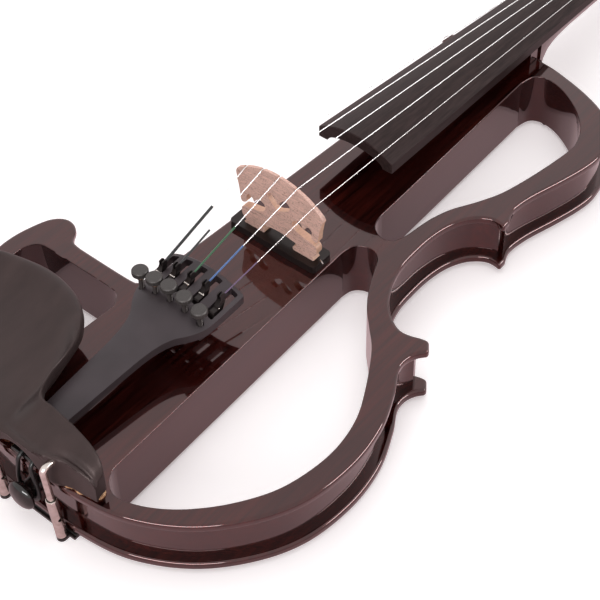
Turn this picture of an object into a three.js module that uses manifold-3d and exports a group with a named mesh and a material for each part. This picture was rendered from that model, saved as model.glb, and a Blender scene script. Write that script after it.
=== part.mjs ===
// A five-string electric violin: a flat sandwich body with cut-out bouts, a set neck,
// an arched fingerboard, a tailpiece with built-in fine tuners, a centre chinrest and its clamp,
// and an active pickup with its controls let into the bass wall of the centre block.
// Millimetres. +Z is up out of the top, +Y runs from the bridge to the scroll, +X is the treble
// side. The origin lies on the flat back, under the middle of the bridge.
import * as THREE from "three";
import { mergeVertices } from "three/addons/utils/BufferGeometryUtils.js";
import Module from "manifold-3d";

const wasm = await Module();
wasm.setup();

// Body, seen from the front
const tailReach = 161.5; // bridge line to the tail edge
const headReach = 195.5; // bridge line to the neck edge
const lowerBoutHalf = 104.8;
const upperBoutHalf = 84.6;
const waistHalf = 52;
const blockTrebleTail = 29.7; // centre block, from the middle line to its treble wall at the tail
const blockTrebleHead = 21.1;
const blockBassTail = 38.9;
const blockBassHead = 19.9;

// Body, through its thickness
const backThick = 4.5;
const ribHeight = 22;
const topThick = 4.5;
const edgeOverhang = 3.8; // how far the two plates stand out past the ribs
const ribCornerSetback = 6.5; // rib corner post behind the tip of the plate's corner
const seamGap = 0.3; // clearance between pieces that are fitted to each other
const runGap = 0.35; // clearance round a piece that moves

// Neck, fingerboard and head
const mortiseDepth = 8.5;
const neckRootHalf = 16.3;
const heelDepth = 35;
const stringLength = 328; // nut to bridge
const boardEnd = 55; // bridge line to the near end of the board
const boardEndHalf = 22.4;
const boardNutHalf = 13.3;
const boardEndRise = 18.2; // underside of the board over the top plate, at its near end
const boardNutRise = 0.4;
const boardSide = 6.2; // height of the board's flank, at its near end
const boardNutSide = 4.4;
const boardRadius = 42;
const hollowSide = 5.2; // the board's hollow underside, in from its flank
const hollowHeight = 6;
const hollowStop = 4; // the hollow ends this far before the neck
const nutLength = 5.5;
const nutLift = 0.7; // nut over the board
const pegboxLength = 66;
const pegboxHalf = 13.2;
const pegboxEndHalf = 10.4;
const pegboxDrop = 15; // fall of the pegbox rim from the nut to the scroll
const pegboxDeep = 19.5;
const pegboxFloor = 3.6;
const pegboxStop = 7; // the string channel ends this far before the scroll
const cheekThick = 4.8;
const scrollRadius = 15.6;
const scrollHalf = 10;
const scrollRise = 13; // scroll's eye over the back
const scrollBeyond = 11.5; // end of the pegbox to the scroll's eye
const volutes = [
  { radiusShare: 0.76, halfShare: 1.4 },
  { radiusShare: 0.46, halfShare: 1.85 },
];
const pegShaft = 3.4;
const pegPitch = 11.5;
const pegFirst = 8; // nut to the first peg
const pegDepth = 7.6; // peg axis under the rim of the pegbox
const pegCollar = 5.2;
const pegCollarThick = 2.4;
const pegCollarStand = 4.5; // collar outside the cheek
const pegNeck = 3;
const pegNeckLength = 4;
const pegHeadRadius = 10.2;
const pegHeadHalf = 3.6;
const pegTipStand = 1.2;

// Bridge, pickup and strings
const pickupLength = 52;
const pickupWidth = 13.6;
const pickupThick = 4;
const pickupShift = -1.9; // pickup plate off the middle line, towards the bass
const pickupForward = 0.8; // pickup plate off the bridge line, towards the neck
const pickupRound = 2.2;
const bridgeHalf = 25.9;
const bridgeCrown = 39.6; // highest point of the bridge over its feet
const bridgeRadius = 38;
const bridgeLean = 1.5; // highest point off the middle line, towards the bass
const bridgeFootThick = 4.6;
const bridgeTopThick = 1.7;
const stringNames = ["c", "g", "d", "a", "e"];
const stringRadii = [0.62, 0.5, 0.45, 0.42, 0.3];
const stringPitchBridge = 10.1;
const stringPitchNut = 4.85;
const stringPitchPeg = 3;
const stringPitchTail = 8.6;
const tailShift = -0.3; // tuners off the middle line, towards the bass
const stringSides = 6;
const stringClear = 0.2; // round a string, at the bridge and the nut
const notchDepths = [1.3, 1, 1, 0.7, 0.4];
const ballRadius = 1.3;

// Tailpiece and its fine tuners
const tailpieceFront = 49.3; // front edge from the bridge line
const tailpieceLength = 104;
const tailpieceHalf = 20.8;
const tailpieceFrontRise = 20.6; // flank over the top plate, at the front
const tailpieceEndRise = 14.6;
const tailpieceThick = 4.2;
const tailpieceRadius = 42;
const slotWidth = 4.4;
const slotFrom = 2.2; // front edge to the slot
const slotLength = 17.6;
const tunerBack = 24.4; // front edge to the tuner screws
const tunerShaft = 1.25;
const tunerTravel = 3.5;
const knobRadius = 3.9;
const knobThick = 3;
const knobRise = 9.4; // knob's flat over the tailpiece face
const knobLifts = [0.2, 1.5, 0.3, -0.3, 1.9]; // how far each screw is backed out
const leverWidth = 2.8;
const leverBack = 16.5; // front edge to the lever's pivot
const leverDrop = 3.2; // pivot below the tailpiece face
const leverHook = 5.8; // hook in front of the pivot
const leverHighs = [8.3, 8.9, 8.1, 9, 9.8]; // hook over the pivot
const leverLow = 6; // lower arm under the pivot
const leverPin = 0.9;
const leverPinLength = 1.2;
const tailgutRadius = 1.2;
const tailgutHalf = 3.6;
const tailgutInside = 9; // cord under the end of the tailpiece

// Tail end
const buttonHead = 7.2;
const buttonNeck = 4.2;
const buttonShaft = 3.4;
const buttonHeadThick = 5;
const buttonNeckLength = 7.8;
const buttonShaftLength = 22;
const buttonHeight = 15.8; // over the back
const saddleHalf = 10.5;
const saddleDepth = 6;
const saddleHeight = 2.8;

// Chinrest and its clamp
const corkThick = 2.6;
const corkNear = 15; // pad's near side from the middle line
const corkFar = 34.8;
const corkDepth = 9.4;
const corkRound = 3;
const chinrestFootIn = 1.4; // foot inside the cork's edge
const corkEdge = 3; // pad's outer side in from the tail edge
const chinrestReach = 93.5; // bass end of the cup from the middle line
const chinrestRise = 25; // rim over the top plate
const chinrestFootRise = 15;
const clampSpread = 16.5; // each leg from the middle line
const clampStand = 4.9; // top of each leg outside the tail edge
const clampLean = 2; // foot of each leg nearer the edge
const clampSplay = 0.8; // foot of each leg farther from the middle line
const clampRod = 1.6;
const clampBendRise = 14.6; // where the rod turns into the chinrest, over the top plate
const clampRodReach = 9; // rod inside the chinrest
const barrelRadius = 2.4;
const barrelLow = -0.7; // over the back
const barrelLength = 26.1;
const barrelHole = 1.1;
const rodOverlap = 7; // thread inside each end of the barrel
const footThick = 1.6;
const footCork = 1;
const footReach = 15; // pad under the back, in from the tail edge
const footHalf = 22.6;
const footEdge = 0.8; // foot outside the tail edge

// Controls on the bass wall of the block, in the wall's own frame: +Y along it, +X into it
const controlHeight = 15.5; // axis of the controls over the back
const panelNear = -4.5; // along the wall, from the bridge line
const panelLength = 98.5;
const panelHeight = 18;
const panelThick = 2;
const panelRecess = 1.2;
const panelLip = 1.5; // rebate under the panel's edge
const cavityNear = 14;
const cavityLength = 80;
const cavityDepth = 40;
const cavityHeight = 18.5;
const volumePlace = 27;
const tonePlace = 49;
const dialRadius = 6.6;
const dialThick = 7.4;
const dialSpindle = 2.2;
const potRadius = 6.8;
const potThick = 7;
const switchPlace = 67;
const switchAlong = 13;
const switchDeep = 7;
const switchHigh = 6.5;
const switchSlot = 9;
const switchWall = 1.6;
const sliderWidth = 3;
const sliderHigh = 2.6;
const sliderStand = 2;
const sliderThick = 1.6;
const sliderTravel = 4;
const phonesPlace = 82;
const phonesRadius = 3.6;
const phonesBore = 1.8;
const phonesDepth = 13;
const phonesRim = 4.6;
const jackPlace = 4;
const jackRadius = 5.4;
const jackBore = 3.3;
const jackDepth = 34;
const jackRim = 7.2;
const jackRimThick = 1.4;
const jackFloor = 3;
const bayNear = 103; // battery bay along the wall
const trayLength = 53;
const trayHeight = 19;
const trayDepth = 30.5;
const trayWall = 1.4;
const trayTravel = 26;
const trayLip = 2.4;
const trayLipHeight = 1.2;
const batteryAlong = 48.4;
const batteryDeep = 26;
const batteryHigh = 16.2;
const boardAlong = 46;
const boardDeep = 26;
const boardThick = 1.6;
const boardHeight = 8.2; // over the back
const chips = [
  { sizeShares: [0.3, 0.26, 2.1], placeShares: [0.6, 0.24] },
  { sizeShares: [0.2, 0.13, 3.2], placeShares: [0.3, 0.52] },
  { sizeShares: [0.2, 0.2, 1.8], placeShares: [0.66, 0.8] },
];
const coverInset = 8; // cover plate from the bass wall
const coverLength = 88;
const coverWidth = 36;
const coverThick = 2;
const coverLedge = 5;
const coverCorner = 4;
const coverScrewIn = 4.6;
const coverScrewHead = 2.3;
const coverScrewShaft = 1.1;
const coverScrewLength = 3;
const leadRadius = 0.8;
const leadBore = 1.5;
const leadAcross = -8;
const leadAlong = 2.5;
const leadRun = 18; // how far the lead runs towards the neck on its way down

// Fineness and overruns
const weld = 1e-4;
const overrun = 3; // how far a cutter stands past the face that it cuts
const roundSides = 20;
const smallSides = 12;

// Derived levels and places
const ribTop = backThick + ribHeight;
const topZ = ribTop + topThick;
const nutY = stringLength;
const midString = (stringNames.length - 1) / 2;

// Geometry helpers

function solidOf(geometry) {
  const bare = geometry.index ? geometry.toNonIndexed() : geometry.clone();
  bare.deleteAttribute("normal");
  bare.deleteAttribute("uv");
  const merged = mergeVertices(bare, weld);
  const triVerts = new Uint32Array(merged.index.array);
  const vertProperties = merged.attributes.position.array;
  if (signedVolume(vertProperties, triVerts) < 0) triVerts.reverse();
  return new wasm.Manifold(new wasm.Mesh({ numProp: 3, vertProperties, triVerts }));
}

function geometryOf(solid) {
  const mesh = solid.getMesh();
  const geometry = new THREE.BufferGeometry();
  const positions = new Float32Array(mesh.vertProperties);
  geometry.setAttribute("position", new THREE.BufferAttribute(positions, 3));
  geometry.setIndex(new THREE.BufferAttribute(new Uint32Array(mesh.triVerts), 1));
  geometry.computeVertexNormals();
  return geometry;
}

const joined = (...solids) => solids.reduce((whole, next) => whole.add(next));
const cut = (solid, ...cutters) => cutters.reduce((rest, cutter) => rest.subtract(cutter), solid);

function prism(points, low, high, holes = []) {
  const shape = new THREE.Shape(points);
  shape.holes = holes.map((hole) => new THREE.Path(hole));
  const geometry = new THREE.ExtrudeGeometry(shape, { depth: high - low, bevelEnabled: false });
  return geometry.translate(0, 0, low);
}

// A side view in (y, z), given its thickness along X about the middle.
function sideways(points, half, middle = 0) {
  const geometry = prism(points, -half, half);
  const turn = new THREE.Matrix4().set(0, 0, 1, middle, 1, 0, 0, 0, 0, 1, 0, 0, 0, 0, 0, 1);
  return geometry.applyMatrix4(turn);
}

function block(low, high) {
  const size = new THREE.Vector3().subVectors(high, low);
  const middle = new THREE.Vector3().addVectors(low, high).multiplyScalar(1 / 2);
  return new THREE.BoxGeometry(size.x, size.y, size.z).translate(middle.x, middle.y, middle.z);
}

function rod(from, to, radius, sides = smallSides) {
  const along = new THREE.Vector3().subVectors(to, from);
  const geometry = new THREE.CylinderGeometry(radius, radius, along.length(), sides);
  const turn = new THREE.Quaternion().setFromUnitVectors(
    new THREE.Vector3(0, 1, 0),
    along.clone().normalize(),
  );
  const middle = new THREE.Vector3().addVectors(from, to).multiplyScalar(1 / 2);
  return geometry.applyQuaternion(turn).translate(middle.x, middle.y, middle.z);
}

// A body of revolution about +Y through [radius, height] pairs that start and end on the axis.
function turned(profile, sides = roundSides) {
  const points = profile.map(([radius, height]) => new THREE.Vector2(radius, height));
  return new THREE.LatheGeometry(points, sides);
}

function signedVolume(positions, triangles) {
  const [a, b, c] = [new THREE.Vector3(), new THREE.Vector3(), new THREE.Vector3()];
  let volume = 0;
  for (let i = 0; i < triangles.length; i += 3) {
    a.fromArray(positions, triangles[i] * 3);
    b.fromArray(positions, triangles[i + 1] * 3);
    c.fromArray(positions, triangles[i + 2] * 3);
    volume += a.dot(b.cross(c)) / 6;
  }
  return volume;
}

// A closed skin over rings of the same, even number of points. An end is closed by pairing its
// first half with its second half, which suits round, boxy and arched sections alike.
function loft(rings) {
  const count = rings[0].length;
  const positions = rings.flat().flatMap((point) => [point.x, point.y, point.z]);
  const triangles = [];
  for (let r = 0; r + 1 < rings.length; r += 1) {
    for (let i = 0; i < count; i += 1) {
      const [here, next] = [r * count + i, r * count + ((i + 1) % count)];
      triangles.push(here, next, next + count, here, next + count, here + count);
    }
  }
  const last = (rings.length - 1) * count;
  for (let i = 0; i + 1 < count / 2; i += 1) {
    const pair = [i, i + 1, count - 2 - i, count - 1 - i];
    triangles.push(pair[0], pair[2], pair[1], pair[0], pair[3], pair[2]);
    const end = pair.map((index) => index + last);
    triangles.push(end[0], end[1], end[2], end[0], end[2], end[3]);
  }
  const geometry = new THREE.BufferGeometry();
  geometry.setAttribute("position", new THREE.Float32BufferAttribute(positions, 3));
  geometry.setIndex(triangles);
  return geometry;
}

// A round bar along a broken line, with the same section all along it.
function bar(points, radius, sides = smallSides) {
  const side = new THREE.Vector3(1, 0, 0);
  const rings = points.map((point, i) => {
    const before = points[Math.max(i - 1, 0)];
    const after = points[Math.min(i + 1, points.length - 1)];
    const inward = new THREE.Vector3().subVectors(point, before).normalize();
    const outward = new THREE.Vector3().subVectors(after, point).normalize();
    const along = inward.add(outward).normalize();
    side.addScaledVector(along, -side.dot(along)).normalize();
    const up = new THREE.Vector3().crossVectors(along, side);
    return Array.from({ length: sides }, (_, k) => {
      const angle = (2 * Math.PI * (k + 1 / 2)) / sides;
      return point
        .clone()
        .addScaledVector(side, radius * Math.cos(angle))
        .addScaledVector(up, radius * Math.sin(angle));
    });
  });
  return loft(rings);
}

const v3 = (x, y, z) => new THREE.Vector3(x, y, z);
const v2 = (x, y) => new THREE.Vector2(x, y);
const mix = (from, to, share) => from + (to - from) * share;
const sagitta = (radius, half) => radius - Math.sqrt(radius * radius - half * half);
const curve = (points, steps) => new THREE.SplineCurve(points).getSpacedPoints(steps);

// Materials, by what the piece is made of
const finishes = {
  lacquer: { color: 0x4a1614, roughness: 0.16, metalness: 0 },
  ebony: { color: 0x2a2526, roughness: 0.5, metalness: 0 },
  boxComposite: { color: 0x2c2c2e, roughness: 0.55, metalness: 0 },
  knobBlack: { color: 0x5a5654, roughness: 0.5, metalness: 0.1 },
  maple: { color: 0xd3ab93, roughness: 0.6, metalness: 0 },
  steel: { color: 0xd8d4d2, roughness: 0.3, metalness: 1 },
  nickel: { color: 0xc9bcb4, roughness: 0.25, metalness: 1 },
  cork: { color: 0xa5683c, roughness: 0.9, metalness: 0 },
  plastic: { color: 0x161618, roughness: 0.4, metalness: 0 },
  glassEpoxy: { color: 0x1f5a36, roughness: 0.5, metalness: 0 },
  batteryCase: { color: 0x2b3038, roughness: 0.35, metalness: 0.4 },
  cord: { color: 0x101010, roughness: 0.45, metalness: 0 },
};

const violin = new THREE.Group();

function piece(name, shape, finish) {
  const solid = shape instanceof THREE.BufferGeometry ? solidOf(shape) : shape;
  const mesh = new THREE.Mesh(geometryOf(solid), new THREE.MeshStandardMaterial(finishes[finish]));
  mesh.name = name;
  violin.add(mesh);
}

// Body outline. Each point is [share across, share along]: along, a share below zero is of the
// tail reach and one above zero of the head reach.

const alongBody = (share) => share * (share < 0 ? tailReach : headReach);
const bodyShare = (y) => (y + tailReach) / (tailReach + headReach);
const trebleWall = (y) => mix(blockTrebleTail, blockTrebleHead, bodyShare(y));
const bassWall = (y) => -mix(blockBassTail, blockBassHead, bodyShare(y));
const across = (shares, half) => shares.map(([x, y]) => v2(x * half, alongBody(y)));

const lowerBoutShares = [
  [0, -1], [0.21, -0.997], [0.458, -0.969], [0.687, -0.89], [0.859, -0.774], [0.964, -0.644],
  [1, -0.489], [0.978, -0.353], [0.911, -0.238], [0.852, -0.167], [0.842, -0.124],
  [0.859, -0.09], [0.892, -0.065],
];
// Across, from the waist to the lower or the upper bout
const waistLowShares = [
  [0.71, -0.031], [0.634, -0.036], [0.54, -0.046], [0.445, -0.048], [0.341, -0.033],
  [0.256, -0.011], [0.161, 0.021], [0.07, 0.069], [0.015, 0.123], [0, 0.184],
];
const waistHighShares = [
  [0.009, 0.246], [0.071, 0.304], [0.193, 0.349], [0.337, 0.375], [0.475, 0.388],
  [0.598, 0.389], [0.712, 0.385],
];
const upperBoutShares = [
  [0.889, 0.409], [0.862, 0.44], [0.858, 0.471], [0.881, 0.527], [0.94, 0.614], [0.987, 0.696],
  [1, 0.757], [0.969, 0.829], [0.887, 0.885], [0.757, 0.923], [0.615, 0.951], [0.449, 0.974],
  [0.284, 0.99], [0, 1],
];
const stubShares = [
  [0, 1], [-0.118, 0.992], [-0.236, 0.973], [-0.319, 0.951], [-0.382, 0.936], [-0.405, 0.916],
  [-0.388, 0.895], [-0.343, 0.884], [-0.296, 0.879],
];
const stubFootShare = 0.845; // where the stub's fillet meets the block, along the body
const armFilletShares = [
  [-0.319, -0.338], [-0.339, -0.364], [-0.386, -0.375], [-0.687, -0.375],
];
const armStartShare = -0.31;
const hookShares = [
  [-0.687, -0.375], [-0.738, -0.37], [-0.766, -0.354], [-0.79, -0.331], [-0.825, -0.316],
  [-0.868, -0.313], [-0.908, -0.326], [-0.941, -0.353], [-0.966, -0.4], [-0.984, -0.455],
  [-0.986, -0.52], [-0.964, -0.644], [-0.859, -0.774], [-0.687, -0.89], [-0.458, -0.969],
  [-0.21, -0.997], [0, -1],
];
const boutSteps = { lower: 40, waist: 30, upper: 38, stub: 20, fillet: 8, hook: 48 };

// Openings: across, from the wall of the block to the bout; the two ends lie on the wall.
const lowerOpening = {
  from: 0.07,
  to: -0.861,
  half: lowerBoutHalf,
  steps: 58,
  shares: [
    [0.016, 0.099], [0.06, 0.116], [0.116, 0.122], [0.167, 0.117], [0.204, 0.102], [0.234, 0.074],
    [0.27, 0.041], [0.325, -0.003], [0.393, -0.05], [0.481, -0.096], [0.594, -0.158],
    [0.733, -0.273], [0.822, -0.369], [0.858, -0.471], [0.841, -0.57], [0.778, -0.672],
    [0.647, -0.771], [0.494, -0.848], [0.347, -0.898], [0.2, -0.928], [0.107, -0.931],
    [0.036, -0.909],
  ],
};
const upperOpening = {
  from: 0.235,
  to: 0.875,
  half: upperBoutHalf,
  steps: 52,
  shares: [
    [0.013, 0.205], [0.06, 0.182], [0.151, 0.169], [0.224, 0.175], [0.266, 0.194], [0.291, 0.22],
    [0.31, 0.261], [0.339, 0.304], [0.4, 0.356], [0.53, 0.427], [0.625, 0.496], [0.712, 0.614],
    [0.765, 0.726], [0.755, 0.767], [0.695, 0.816], [0.553, 0.87], [0.372, 0.911], [0.231, 0.93],
    [0.112, 0.933], [0.033, 0.916],
  ],
};
const bassOpening = {
  from: -0.477,
  to: -0.83,
  half: lowerBoutHalf,
  steps: 42,
  shares: [
    [0.045, -0.45], [0.099, -0.435], [0.396, -0.433], [0.706, -0.433], [0.769, -0.438],
    [0.813, -0.454], [0.837, -0.48], [0.843, -0.526], [0.822, -0.588], [0.753, -0.672],
    [0.605, -0.771], [0.43, -0.848], [0.278, -0.892], [0.156, -0.909], [0.067, -0.898],
    [0.018, -0.87],
  ],
};

function openingOutline({ from, to, half, steps, shares }, side) {
  const wall = (y) => side * (side > 0 ? trebleWall(y) : bassWall(y));
  const spot = ([x, share]) => v2(side * mix(wall(alongBody(share)), half, x), alongBody(share));
  return curve([spot([0, from]), ...shares.map(spot), spot([0, to])], steps);
}

// A copy of an open line, moved to its left by a distance.
function shifted(points, distance) {
  return points.map((point, i) => {
    const before = points[Math.max(i - 1, 0)];
    const after = points[Math.min(i + 1, points.length - 1)];
    const along = v2(after.x - before.x, after.y - before.y).normalize();
    return v2(point.x - along.y * distance, point.y + along.x * distance);
  });
}

function crossing(a, b, c, d) {
  const [p, q] = [v2(b.x - a.x, b.y - a.y), v2(d.x - c.x, d.y - c.y)];
  const down = p.x * q.y - p.y * q.x;
  if (down === 0) return null;
  const s = ((c.x - a.x) * q.y - (c.y - a.y) * q.x) / down;
  const t = ((c.x - a.x) * p.y - (c.y - a.y) * p.x) / down;
  return s >= 0 && s <= 1 && t >= 0 && t <= 1 ? v2(a.x + p.x * s, a.y + p.y * s) : null;
}

// Two lines end to end; where they cross they are cut back to the crossing.
function mitred(first, second) {
  for (let i = 0; i + 1 < first.length; i += 1) {
    for (let j = second.length - 1; j > 0; j -= 1) {
      const met = crossing(first[i], first[i + 1], second[j - 1], second[j]);
      if (met) return [...first.slice(0, i + 1), met, ...second.slice(j)];
    }
  }
  return [...first, ...second];
}

function bodyOutline(inset) {
  const fromWaist = (shares, bout) =>
    shares.map(([x, y]) => v2(mix(waistHalf, bout, x), alongBody(y)));
  const lower = curve(across(lowerBoutShares, lowerBoutHalf), boutSteps.lower);
  const waist = curve(
    [...fromWaist(waistLowShares, lowerBoutHalf), ...fromWaist(waistHighShares, upperBoutHalf)],
    boutSteps.waist,
  );
  const upper = curve(across(upperBoutShares, upperBoutHalf), boutSteps.upper);
  const [stubFoot, armStart] = [alongBody(stubFootShare), alongBody(armStartShare)];
  const stubPoints = [...across(stubShares, upperBoutHalf), v2(bassWall(stubFoot), stubFoot)];
  const fillet = [v2(bassWall(armStart), armStart), ...across(armFilletShares, lowerBoutHalf)];
  const bass = [
    ...curve(stubPoints, boutSteps.stub),
    ...curve(fillet, boutSteps.fillet).slice(0, -1),
    ...curve(across(hookShares, lowerBoutHalf), boutSteps.hook),
  ];
  if (inset === 0) return [...lower, ...waist, ...upper, ...bass.slice(1, -1)];
  const [lowTip, highTip] = [waist[0], waist[waist.length - 1]];
  const clear = (points, tip) => points.filter((p) => p.distanceTo(tip) > ribCornerSetback);
  const inner = mitred(
    mitred(
      shifted(clear(lower, lowTip), inset),
      shifted(clear(clear(waist, lowTip), highTip), inset),
    ),
    shifted(clear(upper, highTip), inset),
  );
  return [...inner, ...shifted(bass, inset).slice(1, -1)];
}

const openings = [
  openingOutline(lowerOpening, 1),
  openingOutline(upperOpening, 1),
  openingOutline(bassOpening, -1),
];

// Neck joint: a slot in the top plate and the block that the root of the neck stands in.
const mortiseHalf = neckRootHalf + seamGap;
const mortise = solidOf(
  block(
    v3(-mortiseHalf, headReach - mortiseDepth, backThick),
    v3(mortiseHalf, headReach + overrun, topZ + overrun),
  ),
);

// Frame of the bass wall: its +Y runs along the wall, its +X points into the block.
const wallTurn = Math.atan2(blockBassTail - blockBassHead, tailReach + headReach);
const wallFace = edgeOverhang; // the ribs lie this far behind the plates' edge
const wallFrame = new THREE.Matrix4()
  .makeRotationZ(-wallTurn)
  .premultiply(new THREE.Matrix4().makeTranslation(bassWall(0), 0, 0));
const onWall = (geometry) => geometry.clone().applyMatrix4(wallFrame);
const wallBlock = (low, high) => onWall(block(low, high));
const wallRod = (from, to, radius, sides) => onWall(rod(from, to, radius, sides));

const wallPocket = (near, length, depth, low, high) =>
  solidOf(wallBlock(v3(wallFace - overrun, near, low), v3(wallFace + depth, near + length, high)));

const panelLow = controlHeight - panelHeight / 2;
const panelHigh = controlHeight + panelHeight / 2;
const bayLow = controlHeight - trayHeight / 2;
const bayHigh = controlHeight + trayHeight / 2;
const panelBack = wallFace + panelRecess;
const panelFront = panelBack - panelThick;

// Cuts in the block for the controls, the sockets and the battery
const cavity = joined(
  solidOf(
    wallBlock(
      v3(panelBack + panelThick, cavityNear, backThick - overrun),
      v3(wallFace + cavityDepth, cavityNear + cavityLength, backThick + cavityHeight),
    ),
  ),
  solidOf(
    wallBlock(
      v3(wallFace - overrun, cavityNear, panelLow + panelLip),
      v3(panelBack + 2 * panelThick, cavityNear + cavityLength, backThick + cavityHeight),
    ),
  ),
);
const panelPocket = wallPocket(
  panelNear - seamGap,
  panelLength + 2 * seamGap,
  panelRecess + seamGap,
  panelLow - seamGap,
  panelHigh + seamGap,
);
const jackHole = solidOf(
  wallRod(
    v3(wallFace - overrun, jackPlace, controlHeight),
    v3(wallFace + jackDepth + seamGap, jackPlace, controlHeight),
    jackRadius + seamGap,
  ),
);
const bay = wallPocket(
  bayNear - runGap,
  trayLength + 2 * runGap,
  trayDepth + runGap,
  bayLow - runGap,
  bayHigh + runGap,
);
const leadTop = v3(leadAcross, leadAlong, topZ - leadRadius);
const leadLow = v3(leadAcross, leadAlong + leadRun, topZ - leadRun);
const leadSlope = new THREE.Vector3().subVectors(leadTop, leadLow).normalize();
const leadHole = solidOf(
  rod(leadLow.clone(), leadTop.clone().addScaledVector(leadSlope, overrun), leadBore),
);
const buttonBore = solidOf(
  rod(
    v3(0, -tailReach - overrun, buttonHeight),
    v3(0, -tailReach + edgeOverhang + buttonShaftLength + seamGap, buttonHeight),
    buttonShaft + seamGap,
  ),
);

function makeBody() {
  const plateOutline = bodyOutline(0);
  const top = solidOf(prism(plateOutline, ribTop, topZ, openings));
  piece("top_plate", cut(top, mortise, leadHole), "lacquer");

  const ribOutline = bodyOutline(edgeOverhang);
  const ribs = solidOf(prism(ribOutline, backThick, ribTop, openings));
  const far = lowerBoutHalf + overrun;
  const [tail, head] = [-tailReach - overrun, headReach + overrun];
  const between = (points) => solidOf(prism(points, backThick - overrun, ribTop + overrun));
  const treble = between([
    v2(trebleWall(tail) + seamGap, tail),
    v2(far, tail),
    v2(far, head),
    v2(trebleWall(head) + seamGap, head),
  ]);
  const split = alongBody(armStartShare);
  const bass = between([
    v2(bassWall(tail) - seamGap, tail),
    v2(bassWall(split) - seamGap, split),
    v2(-far, split),
    v2(-far, tail),
  ]);
  const middle = between([
    v2(trebleWall(tail), tail),
    v2(trebleWall(head), head),
    v2(-far, head),
    v2(-far, split + seamGap),
    v2(bassWall(split), split + seamGap),
    v2(bassWall(tail), tail),
  ]);
  const core = ribs.intersect(middle);
  piece(
    "center_block",
    cut(core, mortise, cavity, panelPocket, jackHole, bay, leadHole, buttonBore),
    "lacquer",
  );
  piece("treble_ribs", ribs.intersect(treble), "lacquer");
  piece("bass_ribs", ribs.intersect(bass), "lacquer");
}

// Back plate with the recess and the window of the control cover
const coverMiddle = cavityNear + cavityLength / 2;
const coverNear = coverMiddle - coverLength / 2;
const coverDeep = wallFace + coverInset;

function roundedPlate(x0, x1, y0, y1, corner, low, high) {
  const shape = new THREE.Shape();
  shape.absarc(x1 - corner, y0 + corner, corner, -Math.PI / 2, 0);
  shape.absarc(x1 - corner, y1 - corner, corner, 0, Math.PI / 2);
  shape.absarc(x0 + corner, y1 - corner, corner, Math.PI / 2, Math.PI);
  shape.absarc(x0 + corner, y0 + corner, corner, Math.PI, (3 * Math.PI) / 2);
  const points = shape.getPoints(3);
  return prism(points, low, high);
}

const coverScrewPlaces = [coverNear + coverScrewIn, coverNear + coverLength - coverScrewIn];

function makeBack() {
  const plate = solidOf(prism(bodyOutline(0), 0, backThick, openings));
  const recess = onWall(
    roundedPlate(
      coverDeep - seamGap,
      coverDeep + coverWidth + seamGap,
      coverNear - seamGap,
      coverNear + coverLength + seamGap,
      coverCorner,
      -overrun,
      coverThick + seamGap,
    ),
  );
  const window = wallBlock(
    v3(coverDeep + coverLedge, coverNear + 2 * coverScrewIn, -overrun),
    v3(
      coverDeep + coverWidth - coverLedge,
      coverNear + coverLength - 2 * coverScrewIn,
      backThick + overrun,
    ),
  );
  const screwAcross = coverDeep + coverWidth / 2;
  const screwHoles = coverScrewPlaces.map((y) =>
    solidOf(
      wallRod(
        v3(screwAcross, y, -overrun),
        v3(screwAcross, y, backThick + overrun),
        coverScrewShaft + seamGap,
        smallSides,
      ),
    ),
  );
  piece("back_plate", cut(plate, solidOf(recess), solidOf(window), ...screwHoles), "lacquer");

  const cover = solidOf(
    onWall(
      roundedPlate(
        coverDeep,
        coverDeep + coverWidth,
        coverNear,
        coverNear + coverLength,
        coverCorner,
        0,
        coverThick,
      ),
    ),
  );
  const sinkDepth = coverScrewHead - coverScrewShaft;
  const sinks = coverScrewPlaces.map((y) => {
    const wide = coverScrewHead + seamGap;
    const narrow = coverScrewShaft + seamGap;
    const profile = [[0, -overrun], [wide, -overrun], [wide, 0], [narrow, sinkDepth]];
    profile.push([narrow, coverThick + overrun], [0, coverThick + overrun]);
    const sink = turned(profile, smallSides).rotateX(Math.PI / 2);
    return solidOf(onWall(sink.translate(screwAcross, y, 0)));
  });
  piece("control_cover", cut(cover, ...sinks), "plastic");

  coverScrewPlaces.forEach((y, i) => {
    const profile = [[0, 0], [coverScrewHead, 0], [coverScrewShaft, sinkDepth]];
    profile.push([coverScrewShaft, coverScrewLength], [0, coverScrewLength + coverScrewShaft]);
    const screw = turned(profile, smallSides).rotateX(Math.PI / 2);
    piece(`cover_screw_${i + 1}`, onWall(screw.translate(screwAcross, y, 0)), "nickel");
  });
}

// Neck and head. The rings run from the heel to the end of the pegbox.

const boardShare = (y) => (y - boardEnd) / (stringLength - boardEnd);
const boardHalfAt = (y) => mix(boardEndHalf, boardNutHalf, boardShare(y));
const boardUnder = (y) => topZ + mix(boardEndRise, boardNutRise, boardShare(y));
const boardSideAt = (y) => mix(boardSide, boardNutSide, boardShare(y));
const boardTop = (y) =>
  boardUnder(y) + boardSideAt(y) + sagitta(boardRadius, boardHalfAt(y));

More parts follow.
